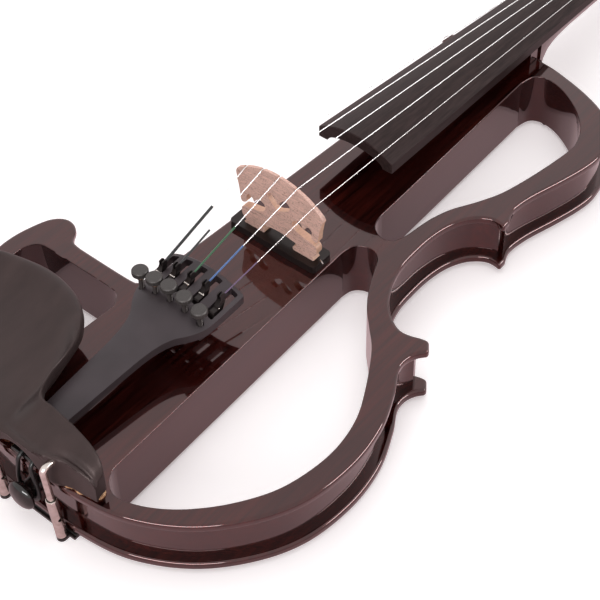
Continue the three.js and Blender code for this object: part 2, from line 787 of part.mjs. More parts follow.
// Along from the plate's edge to the nut, depth as a share of the heel's, and squareness
const neckRings = [
  { along: 0, depth: 1, square: 7 },
  { along: 0.013, depth: 0.84, square: 5 },
  { along: 0.032, depth: 0.67, square: 3.6 },
  { along: 0.062, depth: 0.52, square: 2.8 },
  { along: 0.107, depth: 0.42, square: 2.4 },
  { along: 0.16, depth: 0.37, square: 2.2 },
  { along: 0.25, depth: 0.345, square: 2 },
  { along: 0.6, depth: 0.335, square: 2 },
  { along: 0.93, depth: 0.345, square: 2.1 },
];
const pegboxRings = [
  { along: -0.05, depth: 0.72, square: 2.8 },
  { along: 0.08, depth: 0.84, square: 4 },
  { along: 0.3, depth: 0.97, square: 4.5 },
  { along: 0.65, depth: 1, square: 4.5 },
  { along: 1, depth: 0.93, square: 4 },
  { along: 1.08, depth: 0.8, square: 3 },
];
const neckRingPoints = 12;
const pegboxStart = nutY + nutLength + seamGap;
const pegboxY = (share) => pegboxStart + share * pegboxLength;
const rimZ = (share) => boardUnder(nutY) - seamGap - pegboxDrop * Math.max(share, 0);
const pegboxHalfAt = (share) => mix(pegboxHalf, pegboxEndHalf, share);

function deeRing(y, half, top, depth, square) {
  return Array.from({ length: neckRingPoints }, (_, k) => {
    const angle = (Math.PI * k) / (neckRingPoints - 1);
    const [c, s] = [Math.cos(angle), Math.sin(angle)];
    const x = half * Math.sign(c) * Math.abs(c) ** (2 / square);
    return v3(x, y, top - depth * Math.max(s, 0) ** (2 / square));
  });
}

function boxRing(y, half, low, high) {
  return [v3(-half, y, low), v3(-half, y, high), v3(half, y, high), v3(half, y, low)];
}

const pegs = stringNames.map((_, k) => {
  const y = pegboxStart + pegFirst + pegPitch * k;
  const share = (y - pegboxStart) / pegboxLength;
  return { y, z: rimZ(share) - pegDepth, half: pegboxHalfAt(share), side: k % 2 === 0 ? -1 : 1 };
});
const pegOfString = [0, 2, 4, 3, 1];
const scrollY = pegboxY(1) + scrollBeyond;

function makeNeck() {
  const start = headReach + seamGap;
  const shaft = neckRings.map(({ along, depth, square }) => {
    const y = mix(start, nutY, along);
    const half = boardHalfAt(y) - seamGap;
    return deeRing(y, half, boardUnder(y) - seamGap, depth * heelDepth, square);
  });
  const head = pegboxRings.map(({ along, depth, square }) =>
    deeRing(pegboxY(along), pegboxHalfAt(along), rimZ(along), depth * pegboxDeep, square),
  );
  const rootStart = headReach - mortiseDepth + seamGap;
  const rootLow = backThick + seamGap;
  const root = loft([
    boxRing(rootStart, neckRootHalf, rootLow, boardUnder(rootStart) - seamGap),
    boxRing(start + seamGap, neckRootHalf, rootLow, boardUnder(start + seamGap) - seamGap),
  ]);
  const profile = [
    [0, -1],
    [volutes[1].radiusShare, -1],
    [volutes[1].radiusShare, volutes[0].halfShare],
    [volutes[0].radiusShare, volutes[0].halfShare],
    [volutes[0].radiusShare, 1],
    [1, 1],
  ];
  const outer = volutes[1].halfShare;
  const side = [
    [0, outer * scrollHalf],
    [profile[1][0] * scrollRadius, outer * scrollHalf],
    [profile[2][0] * scrollRadius, profile[2][1] * scrollHalf],
    [profile[3][0] * scrollRadius, profile[3][1] * scrollHalf],
    [profile[4][0] * scrollRadius, scrollHalf],
    [scrollRadius, scrollHalf],
  ];
  const mirrored = side.map(([radius, height]) => [radius, -height]);
  const scroll = turned([...mirrored, ...side.reverse()], roundSides)
    .rotateZ(-Math.PI / 2)
    .translate(0, scrollY, scrollRise);
  const channelShares = [(nutLength - nutLift) / pegboxLength / 4, 1 - pegboxStop / pegboxLength];
  const channel = loft(
    channelShares.map((share) => {
      const low = rimZ(share) - pegboxDeep + pegboxFloor;
      return boxRing(pegboxY(share), pegboxHalfAt(share) - cheekThick, low, topZ + overrun);
    }),
  );
  const holes = pegs.map(({ y, z, half }) =>
    solidOf(rod(v3(-half - overrun, y, z), v3(half + overrun, y, z), pegShaft + runGap)),
  );
  const whole = joined(solidOf(loft([...shaft, ...head])), solidOf(root), solidOf(scroll));
  piece("neck", cut(whole, solidOf(channel), ...holes), "lacquer");
}

function arcRing(y, half, low, radius, points) {
  const arc = Array.from({ length: points }, (_, k) => {
    const x = mix(-half, half, k / (points - 1));
    return v3(x, y, low + sagitta(radius, half) - sagitta(radius, Math.abs(x)));
  });
  return arc;
}

function makeBoard() {
  const ring = (y) => {
    const half = boardHalfAt(y);
    const under = boardUnder(y);
    const arc = arcRing(y, half, under + boardSideAt(y), boardRadius, neckRingPoints - 2);
    return [v3(-half, y, under), ...arc, v3(half, y, under)];
  };
  const board = loft([ring(boardEnd), ring(nutY - seamGap)]);
  const hollowEnd = headReach - mortiseDepth - hollowStop;
  const hollowRing = (y) => {
    const half = boardHalfAt(y) - hollowSide;
    const deep = (hollowHeight * boardSideAt(y)) / boardSide;
    const arc = Array.from({ length: neckRingPoints - 2 }, (_, k) => {
      const angle = (Math.PI * (k + 1 / 2)) / (neckRingPoints - 2);
      return v3(-half * Math.cos(angle), y, boardUnder(y) + deep * Math.sin(angle));
    });
    const low = boardUnder(y) - overrun;
    return [v3(-half, y, low), ...arc, v3(half, y, low)];
  };
  const hollow = loft([hollowRing(boardEnd - overrun), hollowRing(hollowEnd)]);
  piece("fingerboard", cut(solidOf(board), solidOf(hollow)), "ebony");

  const nutUnder = boardUnder(nutY);
  const nutArc = arcRing(
    0,
    boardHalfAt(nutY),
    boardTop(nutY) + nutLift - sagitta(boardRadius, boardHalfAt(nutY)),
    boardRadius,
    neckRingPoints - 2,
  ).map((point) => v2(point.x, point.z));
  const half = boardHalfAt(nutY);
  const nutPoints = [v2(-half, nutUnder), ...nutArc, v2(half, nutUnder)];
  const nut = prism(nutPoints, -nutLength, 0).rotateX(Math.PI / 2).translate(0, nutY, 0);
  piece("nut", nut, "ebony");
}

function makePegs() {
  pegs.forEach(({ y, z, half, side }, k) => {
    const collar = half + pegCollarStand;
    const neckEnd = collar + pegCollarThick + pegNeckLength;
    const profile = [
      [0, -half - pegTipStand],
      [pegShaft, -half - pegTipStand],
      [pegShaft, collar],
      [pegCollar, collar],
      [pegCollar, collar + pegCollarThick],
      [pegNeck, collar + pegCollarThick],
      [pegNeck, neckEnd + pegHeadRadius / 2],
      [0, neckEnd + pegHeadRadius / 2],
    ];
    const head = turned(
      [
        [0, -pegHeadHalf],
        [pegHeadRadius / 2, -pegHeadHalf],
        [pegHeadRadius, -pegHeadHalf / 4],
        [pegHeadRadius, pegHeadHalf / 4],
        [pegHeadRadius / 2, pegHeadHalf],
        [0, pegHeadHalf],
      ],
      roundSides,
    )
      .rotateX(Math.PI / 2)
      .translate(0, neckEnd + pegHeadRadius, 0);
    const whole = joined(solidOf(turned(profile, roundSides)), solidOf(head));
    const turn = new THREE.Matrix4()
      .makeRotationZ((-side * Math.PI) / 2)
      .premultiply(new THREE.Matrix4().makeTranslation(0, y, z));
    const name = stringNames[pegOfString.indexOf(k)];
    piece(`peg_${name}`, geometryOf(whole).applyMatrix4(turn), "ebony");
  });
}

// Bridge and pickup

const bridgeLow = topZ + pickupThick;
const bridgeTop = (x) => bridgeLow + bridgeCrown - sagitta(bridgeRadius, x + bridgeLean);
const stringAtBridge = (k) => {
  const x = (k - midString) * stringPitchBridge;
  return v3(x, 0, bridgeTop(x) + stringRadii[k] - notchDepths[k]);
};
// Half of the bridge below its crown: [share across, share of the crown's height]
const bridgeSideShares = [
  [0.34, 0], [0.81, 0], [0.81, 0.04], [0.86, 0.13], [0.86, 0.25], [0.76, 0.3], [0.65, 0.35],
  [0.76, 0.36], [0.86, 0.29], [0.92, 0.36], [0.94, 0.48], [0.97, 0.66],
];
const bridgeArchShares = [[0.34, 0], [0.32, 0.04], [0.24, 0.1], [0.12, 0.135], [0, 0.15]];
const bridgeEyes = [
  { placeShares: [-0.69, 0.44], sizeShares: [0.08, 0.055] },
  { placeShares: [0.69, 0.44], sizeShares: [0.08, 0.055] },
  { placeShares: [-0.45, 0.41], sizeShares: [0.13, 0.13] },
  { placeShares: [0.45, 0.41], sizeShares: [0.13, 0.13] },
  { placeShares: [0, 0.61], sizeShares: [0.24, 0.11] },
];
const crownSteps = 10;
const eyeSides = 10;

function makeBridge() {
  const spot = (sign) => ([x, z]) => v2(sign * x * bridgeHalf, bridgeLow + z * bridgeCrown);
  const crown = Array.from({ length: crownSteps + 1 }, (_, k) => {
    const x = mix(bridgeHalf, -bridgeHalf, k / crownSteps);
    return v2(x, bridgeTop(x));
  });
  const outline = [
    ...bridgeArchShares.slice(1).reverse().map(spot(1)),
    ...bridgeSideShares.map(spot(1)),
    ...crown,
    ...bridgeSideShares.slice().reverse().map(spot(-1)),
    ...bridgeArchShares.slice(1, -1).map(spot(-1)),
  ];
  const eyes = bridgeEyes.map(({ placeShares, sizeShares }) =>
    Array.from({ length: eyeSides }, (_, k) => {
      const angle = (2 * Math.PI * k) / eyeSides;
      return v2(
        bridgeHalf * (placeShares[0] + sizeShares[0] * Math.cos(angle)),
        bridgeLow + bridgeCrown * (placeShares[1] + sizeShares[1] * Math.sin(angle)),
      );
    }),
  );
  const blank = prism(outline, -1, 1, eyes).rotateX(Math.PI / 2);
  const points = blank.attributes.position;
  for (let i = 0; i < points.count; i += 1) {
    const share = (points.getZ(i) - bridgeLow) / bridgeCrown;
    points.setY(i, (points.getY(i) * mix(bridgeFootThick, bridgeTopThick, share)) / 2);
  }
  const notches = stringNames.map((_, k) => {
    const { x, z } = stringAtBridge(k);
    const half = stringRadii[k] + stringClear;
    const low = v3(x - half, -bridgeFootThick, z - half);
    return solidOf(block(low, v3(x + half, bridgeFootThick, bridgeLow + 2 * bridgeCrown)));
  });
  piece("bridge", cut(solidOf(blank), ...notches), "maple");

  const half = pickupLength / 2;
  const plate = roundedPlate(
    pickupShift - half,
    pickupShift + half,
    pickupForward - pickupWidth / 2,
    pickupForward + pickupWidth / 2,
    pickupRound,
    topZ,
    topZ + pickupThick,
  );
  piece("pickup_plate", plate, "plastic");
}

// Tailpiece. Its face is part of a wide arch whose flanks fall towards the tail.

const tailShare = (y) => (-tailpieceFront - y) / tailpieceLength;
const tailFlank = (y) => topZ + mix(tailpieceFrontRise, tailpieceEndRise, tailShare(y));
// Along from the front edge to the tail end, and half width as a share of the front's
const tailpieceRings = [
  { along: 0, half: 0.93 },
  { along: 0.02, half: 1 },
  { along: 0.13, half: 1 },
  { along: 0.22, half: 0.985 },
  { along: 0.26, half: 0.93 },
  { along: 0.305, half: 0.8 },
  { along: 0.353, half: 0.62 },
  { along: 0.4, half: 0.52 },
  { along: 0.459, half: 0.455 },
  { along: 0.54, half: 0.415 },
  { along: 0.89, half: 0.335 },
  { along: 0.98, half: 0.3 },
  { along: 1, half: 0.24 },
];
const tailpieceRingPoints = 8;

function tailHalf(y) {
  const share = THREE.MathUtils.clamp(tailShare(y), weld, 1 - weld);
  const next = tailpieceRings.findIndex(({ along }) => along >= share);
  const [a, b] = [tailpieceRings[next - 1], tailpieceRings[next]];
  return tailpieceHalf * mix(a.half, b.half, (share - a.along) / (b.along - a.along));
}

function tailFace(x, y) {
  const drop = sagitta(tailpieceRadius, tailHalf(y)) - sagitta(tailpieceRadius, Math.abs(x));
  return tailFlank(y) + drop;
}

const tuners = stringNames.map((name, k) => {
  const x = (k - midString) * stringPitchTail + tailShift;
  const pivotY = -tailpieceFront - leverBack;
  const screwY = -tailpieceFront - tunerBack;
  return {
    name,
    x,
    pivotY,
    pivotZ: tailFace(x, pivotY) - leverDrop,
    screwY,
    faceZ: tailFace(x, screwY),
    lift: knobLifts[k],
    high: leverHighs[k],
  };
});
// The lever's side view from its pivot: the hook in front and above, the arm behind and below
const leverShares = [
  { fore: -0.3, high: -0.3 }, { fore: 0.3, high: -0.3 }, { fore: 0.72, high: 0.2 },
  { fore: 1, high: 0.72 }, { fore: 0.94, high: 1 }, { fore: 0.62, high: 0.98 },
  { fore: 0.6, high: 0.74 }, { fore: 0.28, high: 0.36 }, { fore: -0.3, high: 0.3 },
];
const leverArmShares = [
  { back: 0.3, low: 0.28 }, { back: 0.62, low: 0.6 }, { back: 1.25, low: 0.6 },
  { back: 1.25, low: 1 }, { back: 0.5, low: 1 }, { back: 0.16, low: 0.5 },
];

function makeTailpiece() {
  const shell = loft(
    tailpieceRings.map(({ along, half }) => {
      const y = -tailpieceFront - along * tailpieceLength;
      const across = half * tailpieceHalf;
      const arc = arcRing(y, across, tailFlank(y), tailpieceRadius, tailpieceRingPoints);
      const under = arc.map((point) => v3(point.x, point.y, point.z - tailpieceThick));
      return [...arc, ...under.reverse()];
    }),
  );
  const slots = tuners.map(({ x, pivotY, pivotZ }) => {
    const front = -tailpieceFront - slotFrom;
    const slot = block(
      v3(x - slotWidth / 2, front - slotLength, topZ),
      v3(x + slotWidth / 2, front, topZ + tailpieceFrontRise * 2),
    );
    const reach = leverWidth / 2 + leverPinLength + runGap;
    const pins = rod(v3(x - reach, pivotY, pivotZ), v3(x + reach, pivotY, pivotZ), leverPin + runGap);
    return joined(solidOf(slot), solidOf(pins));
  });
  const holes = tuners.map(({ x, screwY }) =>
    solidOf(rod(v3(x, screwY, topZ), v3(x, screwY, topZ * 2), tunerShaft + runGap)),
  );
  piece("tailpiece", cut(solidOf(shell), ...slots, ...holes), "boxComposite");

  tuners.forEach(({ name, x, pivotY, pivotZ, screwY, faceZ, lift, high }) => {
    const fore = leverShares.map((s) => v2(s.fore * leverHook, s.high * high));
    const arm = tunerBack - leverBack;
    const back = leverArmShares.map((s) => v2(-s.back * arm, -s.low * leverLow));
    const profile = [...fore, ...back].map((p) => v2(p.x + pivotY, p.y + pivotZ));
    const lever = solidOf(sideways(profile, leverWidth / 2, x));
    const reach = leverWidth / 2 + leverPinLength;
    const pins = rod(v3(x - reach, pivotY, pivotZ), v3(x + reach, pivotY, pivotZ), leverPin);
    piece(`tuner_lever_${name}`, joined(lever, solidOf(pins)), "plastic");

    const tip = pivotZ - leverArmShares[1].low * leverLow + seamGap;
    const flat = faceZ + knobRise + lift;
    const screw = turned([
      [0, tip],
      [tunerShaft, tip],
      [tunerShaft, flat - knobThick],
      [knobRadius * (2 / 3), flat - knobThick],
      [knobRadius, flat - knobThick * (2 / 3)],
      [knobRadius, flat - knobThick / 4],
      [knobRadius * (5 / 6), flat],
      [0, flat],
    ], smallSides + 2);
    piece(`tuner_screw_${name}`, screw.rotateX(Math.PI / 2).translate(x, screwY, 0), "knobBlack");
  });
}

// Strings: from the ball behind the lever's hook, over the bridge and the nut, to the peg

function makeStrings() {
  stringNames.forEach((name, k) => {
    const radius = stringRadii[k];
    const tuner = tuners[k];
    const seat = stringAtBridge(k);
    const nutX = (k - midString) * stringPitchNut;
    const pegX = (k - midString) * stringPitchPeg;
    const overX = mix(nutX, pegX, 1 / 8);
    const peg = pegs[pegOfString[k]];
    const lift = radius + stringClear;
    const nutCrown = boardTop(nutY) + nutLift;
    const overNut = (x) => nutCrown - sagitta(boardRadius, Math.abs(x)) + lift;
    const wrap = pegShaft + lift + stringClear;
    const wide = wrap * Math.tan(Math.PI / 8);
    const start = v3(
      tuner.x,
      tuner.pivotY + leverHook + seamGap,
      tuner.pivotZ + tuner.high * leverShares[3].high,
    );
    const path = [
      start,
      seat.clone().setY(-bridgeTopThick / 2),
      seat.clone().setY(bridgeTopThick / 2),
      v3(nutX, nutY, overNut(nutX)),
      v3(overX, nutY + nutLength, overNut(overX)),
      v3(pegX, peg.y - wide, peg.z + wrap),
      v3(pegX, peg.y + wide, peg.z + wrap),
      v3(pegX, peg.y + wrap, peg.z + wide),
      v3(pegX, peg.y + wrap, peg.z - wide),
    ];
    piece(`string_${name}`, bar(path, radius, stringSides), "steel");
  });
}

// Tail end: saddle, end button and the cord that holds the tailpiece

function makeTail() {
  const saddle = block(
    v3(-saddleHalf, -tailReach + seamGap, topZ),
    v3(saddleHalf, -tailReach + saddleDepth, topZ + saddleHeight),
  );
  piece("saddle", saddle, "ebony");

  const face = -tailReach + edgeOverhang;
  const button = turned([
    [0, 0],
    [buttonHead * (2 / 3), 0],
    [buttonHead, buttonHeadThick / 3],
    [buttonHead, buttonHeadThick * (3 / 4)],
    [buttonNeck, buttonHeadThick],
    [buttonNeck, buttonHeadThick + buttonNeckLength - seamGap],
    [buttonShaft, buttonHeadThick + buttonNeckLength - seamGap],
    [buttonShaft, buttonHeadThick + buttonNeckLength + buttonShaftLength],
    [0, buttonHeadThick + buttonNeckLength + buttonShaftLength],
  ]);
  const buttonStart = face - buttonNeckLength - buttonHeadThick;
  piece("end_button", button.translate(0, buttonStart, buttonHeight), "ebony");

  const gap = tailgutRadius + seamGap;
  const end = -tailpieceFront - tailpieceLength;
  const under = (y) => tailFace(tailgutHalf, y) - tailpieceThick - gap;
  const loopY = -tailReach - gap;
  const loop = (buttonNeck + gap) / Math.cos(Math.PI / 8);
  const strand = [
    v3(tailgutHalf, end + tailgutInside, under(end + tailgutInside)),
    v3(tailgutHalf, end, under(end)),
    v3(tailgutHalf, -tailReach + saddleDepth - gap, topZ + saddleHeight + gap),
    v3(tailgutHalf, -tailReach - seamGap, topZ + saddleHeight + gap),
    v3(tailgutHalf, loopY - seamGap, topZ),
    v3(loop, loopY - seamGap, buttonHeight + buttonNeck),
  ];
  const round = [0, 1, 2, 3].map((k) => {
    const angle = (Math.PI * (2 * k + 1)) / 8;
    const [x, z] = [loop * Math.cos(angle), buttonHeight - loop * Math.sin(angle)];
    return v3(x, loopY - seamGap, z);
  });
  const other = strand.map((p) => v3(-p.x, p.y, p.z)).reverse();
  piece("tailgut", bar([...strand, ...round, ...other], tailgutRadius), "cord");
}

// Chinrest: [share across, near edge, far edge, rim]. Near and far are shares of the tail reach,
// the rim is a share of the rim's rise.
const chinrestShares = [
  [-1, -0.73, -0.8, 0.98], [-0.965, -0.665, -0.86, 1], [-0.88, -0.615, -0.915, 1],
  [-0.75, -0.589, -0.965, 1], [-0.59, -0.574, -0.995, 1], [-0.44, -0.582, -1.01, 1],
  [-0.325, -0.607, -1.018, 0.99], [-0.228, -0.652, -1.021, 0.98], [-0.15, -0.724, -1.022, 0.97],
  [-0.112, -0.83, -1.022, 0.965], [-0.06, -0.889, -1.022, 0.96], [0.02, -0.898, -1.022, 0.955],
  [0.139, -0.904, -1.022, 0.95], [0.267, -0.917, -1.022, 0.93], [0.364, -0.94, -1.021, 0.88],
  [0.43, -0.958, -1.018, 0.8], [0.49, -0.985, -1.01, 0.66],
];
const chinrestDish = 0.26; // depth of the hollow, as a share of the rim's rise
const chinrestRidge = 0.8; // tail ridge
const chinrestSkirt = 0.42; // lower edge of the skirt at the tail
const chinrestShell = 0.2;

// A point on a leg's axis, by its height over the back
function legAt(side, z) {
  const share = z / (topZ + clampBendRise);
  const x = side * (clampSpread + clampSplay * (1 - share));
  return v3(x, -tailReach - clampStand + clampLean * (1 - share), z);
}

function clampPath(side, grow) {
  const bend = topZ + clampBendRise;
  const top = legAt(side, bend);
  return [
    legAt(side, barrelLow + barrelLength - rodOverlap),
    legAt(side, bend - clampRod),
    v3(top.x, top.y + clampRod, bend),
    v3(top.x, top.y + clampRodReach + grow, bend),
  ];
}

function makeChinrest() {
  const height = (share) => topZ + share * chinrestRise;
  const rings = chinrestShares.map(([x, nearShare, farShare, rimShare]) => {
    const [near, far] = [nearShare * tailReach, farShare * tailReach];
    const depth = near - far;
    const across = x * chinrestReach;
    const dish = rimShare - chinrestDish * Math.min(1, depth / (tailReach / 4));
    const ridge = rimShare * chinrestRidge;
    const skirt = Math.max(chinrestSkirt, ridge - 2 * chinrestShell);
    const ring = [
      [near - depth * 0.02, rimShare - chinrestShell / 3],
      [near - depth * 0.07, rimShare],
      [near - depth * 0.32, dish],
      [near - depth * 0.62, dish - chinrestShell / 4],
      [far + depth * 0.16, ridge],
      [far + depth * 0.03, ridge - chinrestShell / 2],
      [far, skirt],
      [far + depth * 0.12, skirt],
      [far + depth * 0.22, ridge - chinrestShell * 1.2],
      [near - depth * 0.6, dish - chinrestShell * 1.25],
      [near - depth * 0.3, dish - chinrestShell],
      [near, rimShare - chinrestShell],
    ];
    return ring.map(([y, share]) => v3(across, y, height(share)));
  });
  const padFar = -tailReach + corkEdge;
  const pad = (side, inset, low, high) => {
    const [inner, outer] = [corkNear + inset, corkFar - inset].map((x) => side * x);
    const [x0, x1] = [Math.min(inner, outer), Math.max(inner, outer)];
    const [y0, y1] = [padFar + inset, padFar + corkDepth - inset];
    return roundedPlate(x0, x1, y0, y1, corkRound - inset, topZ + low, topZ + high);
  };
  const feet = [-1, 1].map((side) =>
    solidOf(pad(side, chinrestFootIn, corkThick, chinrestFootRise)),
  );
  const bores = [-1, 1].map((side) => solidOf(bar(clampPath(side, seamGap), clampRod + seamGap)));
  piece("chinrest", cut(joined(solidOf(loft(rings)), ...feet), ...bores), "boxComposite");

  ["bass", "treble"].forEach((name, k) => {
    const side = 2 * k - 1;
    piece(`chinrest_cork_${name}`, pad(side, 0, 0, corkThick), "cork");
    piece(`clamp_rod_${name}`, bar(clampPath(side, 0), clampRod), "nickel");

    const high = barrelLow + barrelLength;
    const tube = solidOf(rod(legAt(side, barrelLow), legAt(side, high), barrelRadius));
    const inside = rod(
      legAt(side, barrelLow - overrun),
      legAt(side, high + overrun),
      clampRod + seamGap,
    );
    const middle = legAt(side, mix(barrelLow, high, 1 / 2));
    const reach = barrelRadius + overrun;
    const cross = rod(
      middle.clone().setX(middle.x - reach),
      middle.clone().setX(middle.x + reach),
      barrelHole,
    );
    piece(`clamp_barrel_${name}`, cut(tube, solidOf(inside), solidOf(cross)), "nickel");
  });

  const footLow = -footCork - footThick;
  const footNear = -tailReach + footReach;
  const plate = block(
    v3(-footHalf, -tailReach - footEdge, footLow),
    v3(footHalf, footNear, -footCork),
  );
  const rods = [-1, 1].map((side) =>
    solidOf(rod(legAt(side, footLow / 2), legAt(side, barrelLow + rodOverlap), clampRod)),
  );
  const lugs = [-1, 1].map((side) => {
    const { x, y } = legAt(side, -footCork);
    const eye = rod(v3(x, y, footLow), v3(x, y, -footCork), barrelRadius, roundSides);
    const neck = block(v3(x - barrelRadius, y, footLow), v3(x + barrelRadius, footNear, -footCork));
    return joined(solidOf(eye), solidOf(neck));
  });
  piece("clamp_foot", joined(solidOf(plate), ...rods, ...lugs), "ebony");
  const lining = block(v3(-footHalf, -tailReach + seamGap, -footCork), v3(footHalf, footNear, 0));
  piece("clamp_foot_cork", lining, "cork");
}

// Controls, sockets and battery

function makeControls() {
  const z = controlHeight;
  const blank = solidOf(
    wallBlock(
      v3(panelFront, panelNear, panelLow),
      v3(panelBack, panelNear + panelLength, panelHigh),
    ),
  );
  const through = (y, radius) =>
    solidOf(wallRod(v3(panelFront - overrun, y, z), v3(panelBack + overrun, y, z), radius));
  const slot = solidOf(
    wallBlock(
      v3(panelFront - overrun, switchPlace - switchSlot / 2, z - sliderHigh / 2 - runGap),
      v3(panelBack + overrun, switchPlace + switchSlot / 2, z + sliderHigh / 2 + runGap),
    ),
  );
  const panel = cut(
    blank,
    through(volumePlace, dialSpindle + runGap),
    through(tonePlace, dialSpindle + runGap),
    slot,
    through(phonesPlace, phonesRadius + seamGap),
    through(jackPlace, jackRadius + seamGap),
  );
  piece("control_panel", panel, "plastic");

  const backOfPanel = panelBack + seamGap;
  [["volume", volumePlace], ["tone", tonePlace]].forEach(([name, y]) => {
    const dialBack = panelFront - runGap;
    const dialFront = dialBack - dialThick;
    const cap = turned([
      [0, dialFront],
      [dialRadius * (7 / 8), dialFront],
      [dialRadius, dialFront + dialThick / 6],
      [dialRadius, dialBack],
      [dialSpindle, dialBack],
      [dialSpindle, backOfPanel - seamGap],
      [0, backOfPanel - seamGap],
    ]).rotateZ(-Math.PI / 2);
    piece(`${name}_knob`, onWall(cap.translate(0, y, z)), "plastic");
    const pot = turned([
      [0, backOfPanel],
      [potRadius, backOfPanel],
      [potRadius, backOfPanel + potThick],
      [0, backOfPanel + potThick],
    ]).rotateZ(-Math.PI / 2);
    piece(`${name}_pot`, onWall(pot.translate(0, y, z)), "nickel");
  });

  const body = solidOf(
    wallBlock(
      v3(backOfPanel, switchPlace - switchAlong / 2, z - switchHigh / 2),
      v3(backOfPanel + switchDeep, switchPlace + switchAlong / 2, z + switchHigh / 2),
    ),
  );
  const trench = solidOf(
    wallBlock(
      v3(
        backOfPanel - overrun,
        switchPlace - switchAlong / 2 + switchWall,
        z - sliderHigh / 2 - runGap,
      ),
      v3(
        backOfPanel + sliderThick + 2 * runGap,
        switchPlace + switchAlong / 2 - switchWall,
        z + sliderHigh / 2 + runGap,
      ),
    ),
  );
  piece("power_switch_body", cut(body, trench), "nickel");
  const slider = wallBlock(
    v3(
      panelFront - sliderStand,
      switchPlace - sliderTravel / 2 - sliderWidth / 2,
      z - sliderHigh / 2,
    ),
    v3(
      backOfPanel + sliderThick,
      switchPlace - sliderTravel / 2 + sliderWidth / 2,
      z + sliderHigh / 2,
    ),
  );
  piece("power_switch_slider", slider, "steel");

  const socket = (name, y, radius, bore, deep, rim, rimThick, finish) => {
    const front = panelFront - rimThick;
    const profile = [
      [0, deep - jackFloor],
      [bore, deep - jackFloor],
      [bore, front],
      [rim, front],
      [rim, panelFront],
      [radius, panelFront],
      [radius, deep],
      [0, deep],
    ];
    piece(name, onWall(turned(profile).rotateZ(-Math.PI / 2).translate(0, y, z)), finish);
  };
  const jackEnd = wallFace + jackDepth;
  socket("output_jack", jackPlace, jackRadius, jackBore, jackEnd, jackRim, jackRimThick, "nickel");
  const phonesEnd = backOfPanel + phonesDepth;
  const phones = [phonesRadius, phonesBore, phonesEnd, phonesRim, jackRimThick];
  socket("headphone_jack", phonesPlace, ...phones, "nickel");

  const boardX = backOfPanel + potThick + seamGap;
  const boardY = mix(volumePlace, tonePlace, 1 / 2) - boardAlong / 2;
  const boardTopZ = boardHeight + boardThick;
  const laminate = solidOf(
    wallBlock(v3(boardX, boardY, boardHeight), v3(boardX + boardDeep, boardY + boardAlong, boardTopZ)),
  );
  const parts = chips.map(({ sizeShares, placeShares }) => {
    const [deep, along] = [sizeShares[0] * boardDeep, sizeShares[1] * boardAlong];
    const high = sizeShares[2] * boardThick;
    const [x, y] = [boardX + placeShares[0] * boardDeep, boardY + placeShares[1] * boardAlong];
    return solidOf(
      wallBlock(
        v3(x - deep / 2, y - along / 2, boardHeight + boardThick / 2),
        v3(x + deep / 2, y + along / 2, boardTopZ + high),
      ),
    );
  });
  piece("preamp_board", joined(laminate, ...parts), "glassEpoxy");

  const end = leadLow.clone().setZ(boardTopZ + leadRadius);
  piece("pickup_lead", bar([leadTop, leadLow, end], leadRadius), "cord");
}

function makeBattery() {
  const outside = solidOf(
    wallBlock(
      v3(wallFace, bayNear, bayLow + runGap),
      v3(wallFace + trayDepth, bayNear + trayLength, bayHigh - runGap),
    ),
  );
  const [deepRoom, alongRoom] = [batteryDeep + 2 * seamGap, batteryAlong + 2 * seamGap];
  const roomX = wallFace + trayDepth - trayWall - deepRoom;
  const roomY = bayNear + (trayLength - alongRoom) / 2;
  const floor = bayLow + runGap + trayWall;
  const room = solidOf(
    wallBlock(v3(roomX, roomY, floor), v3(roomX + deepRoom, roomY + alongRoom, bayHigh + overrun)),
  );
  const lip = solidOf(
    wallBlock(
      v3(wallFace - trayLip, bayNear + trayLength / 3, controlHeight - trayLipHeight),
      v3(wallFace + trayWall, bayNear + (trayLength * 2) / 3, controlHeight + trayLipHeight),
    ),
  );
  piece("battery_tray", joined(cut(outside, room), lip), "plastic");
  const cell = wallBlock(
    v3(roomX + seamGap, roomY + seamGap, floor),
    v3(roomX + seamGap + batteryDeep, roomY + seamGap + batteryAlong, floor + batteryHigh),
  );
  piece("battery", cell, "batteryCase");
}

makeBody();
makeBack();
makeNeck();
makeBoard();
makePegs();
makeBridge();
makeTailpiece();
makeStrings();
makeTail();
makeChinrest();
makeControls();
makeBattery();

export default violin;
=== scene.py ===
"""A five-string electric violin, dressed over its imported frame.

Sizes are in metres where Blender asks for them and in millimetres in the maker's tables. +Z is up
out of the top, +Y runs from the bridge to the scroll and +X is the treble side.
"""

import math

import bmesh
import bpy
from bpy.props import FloatProperty, FloatVectorProperty, IntProperty, PointerProperty
from mathutils import Matrix, Vector, kdtree


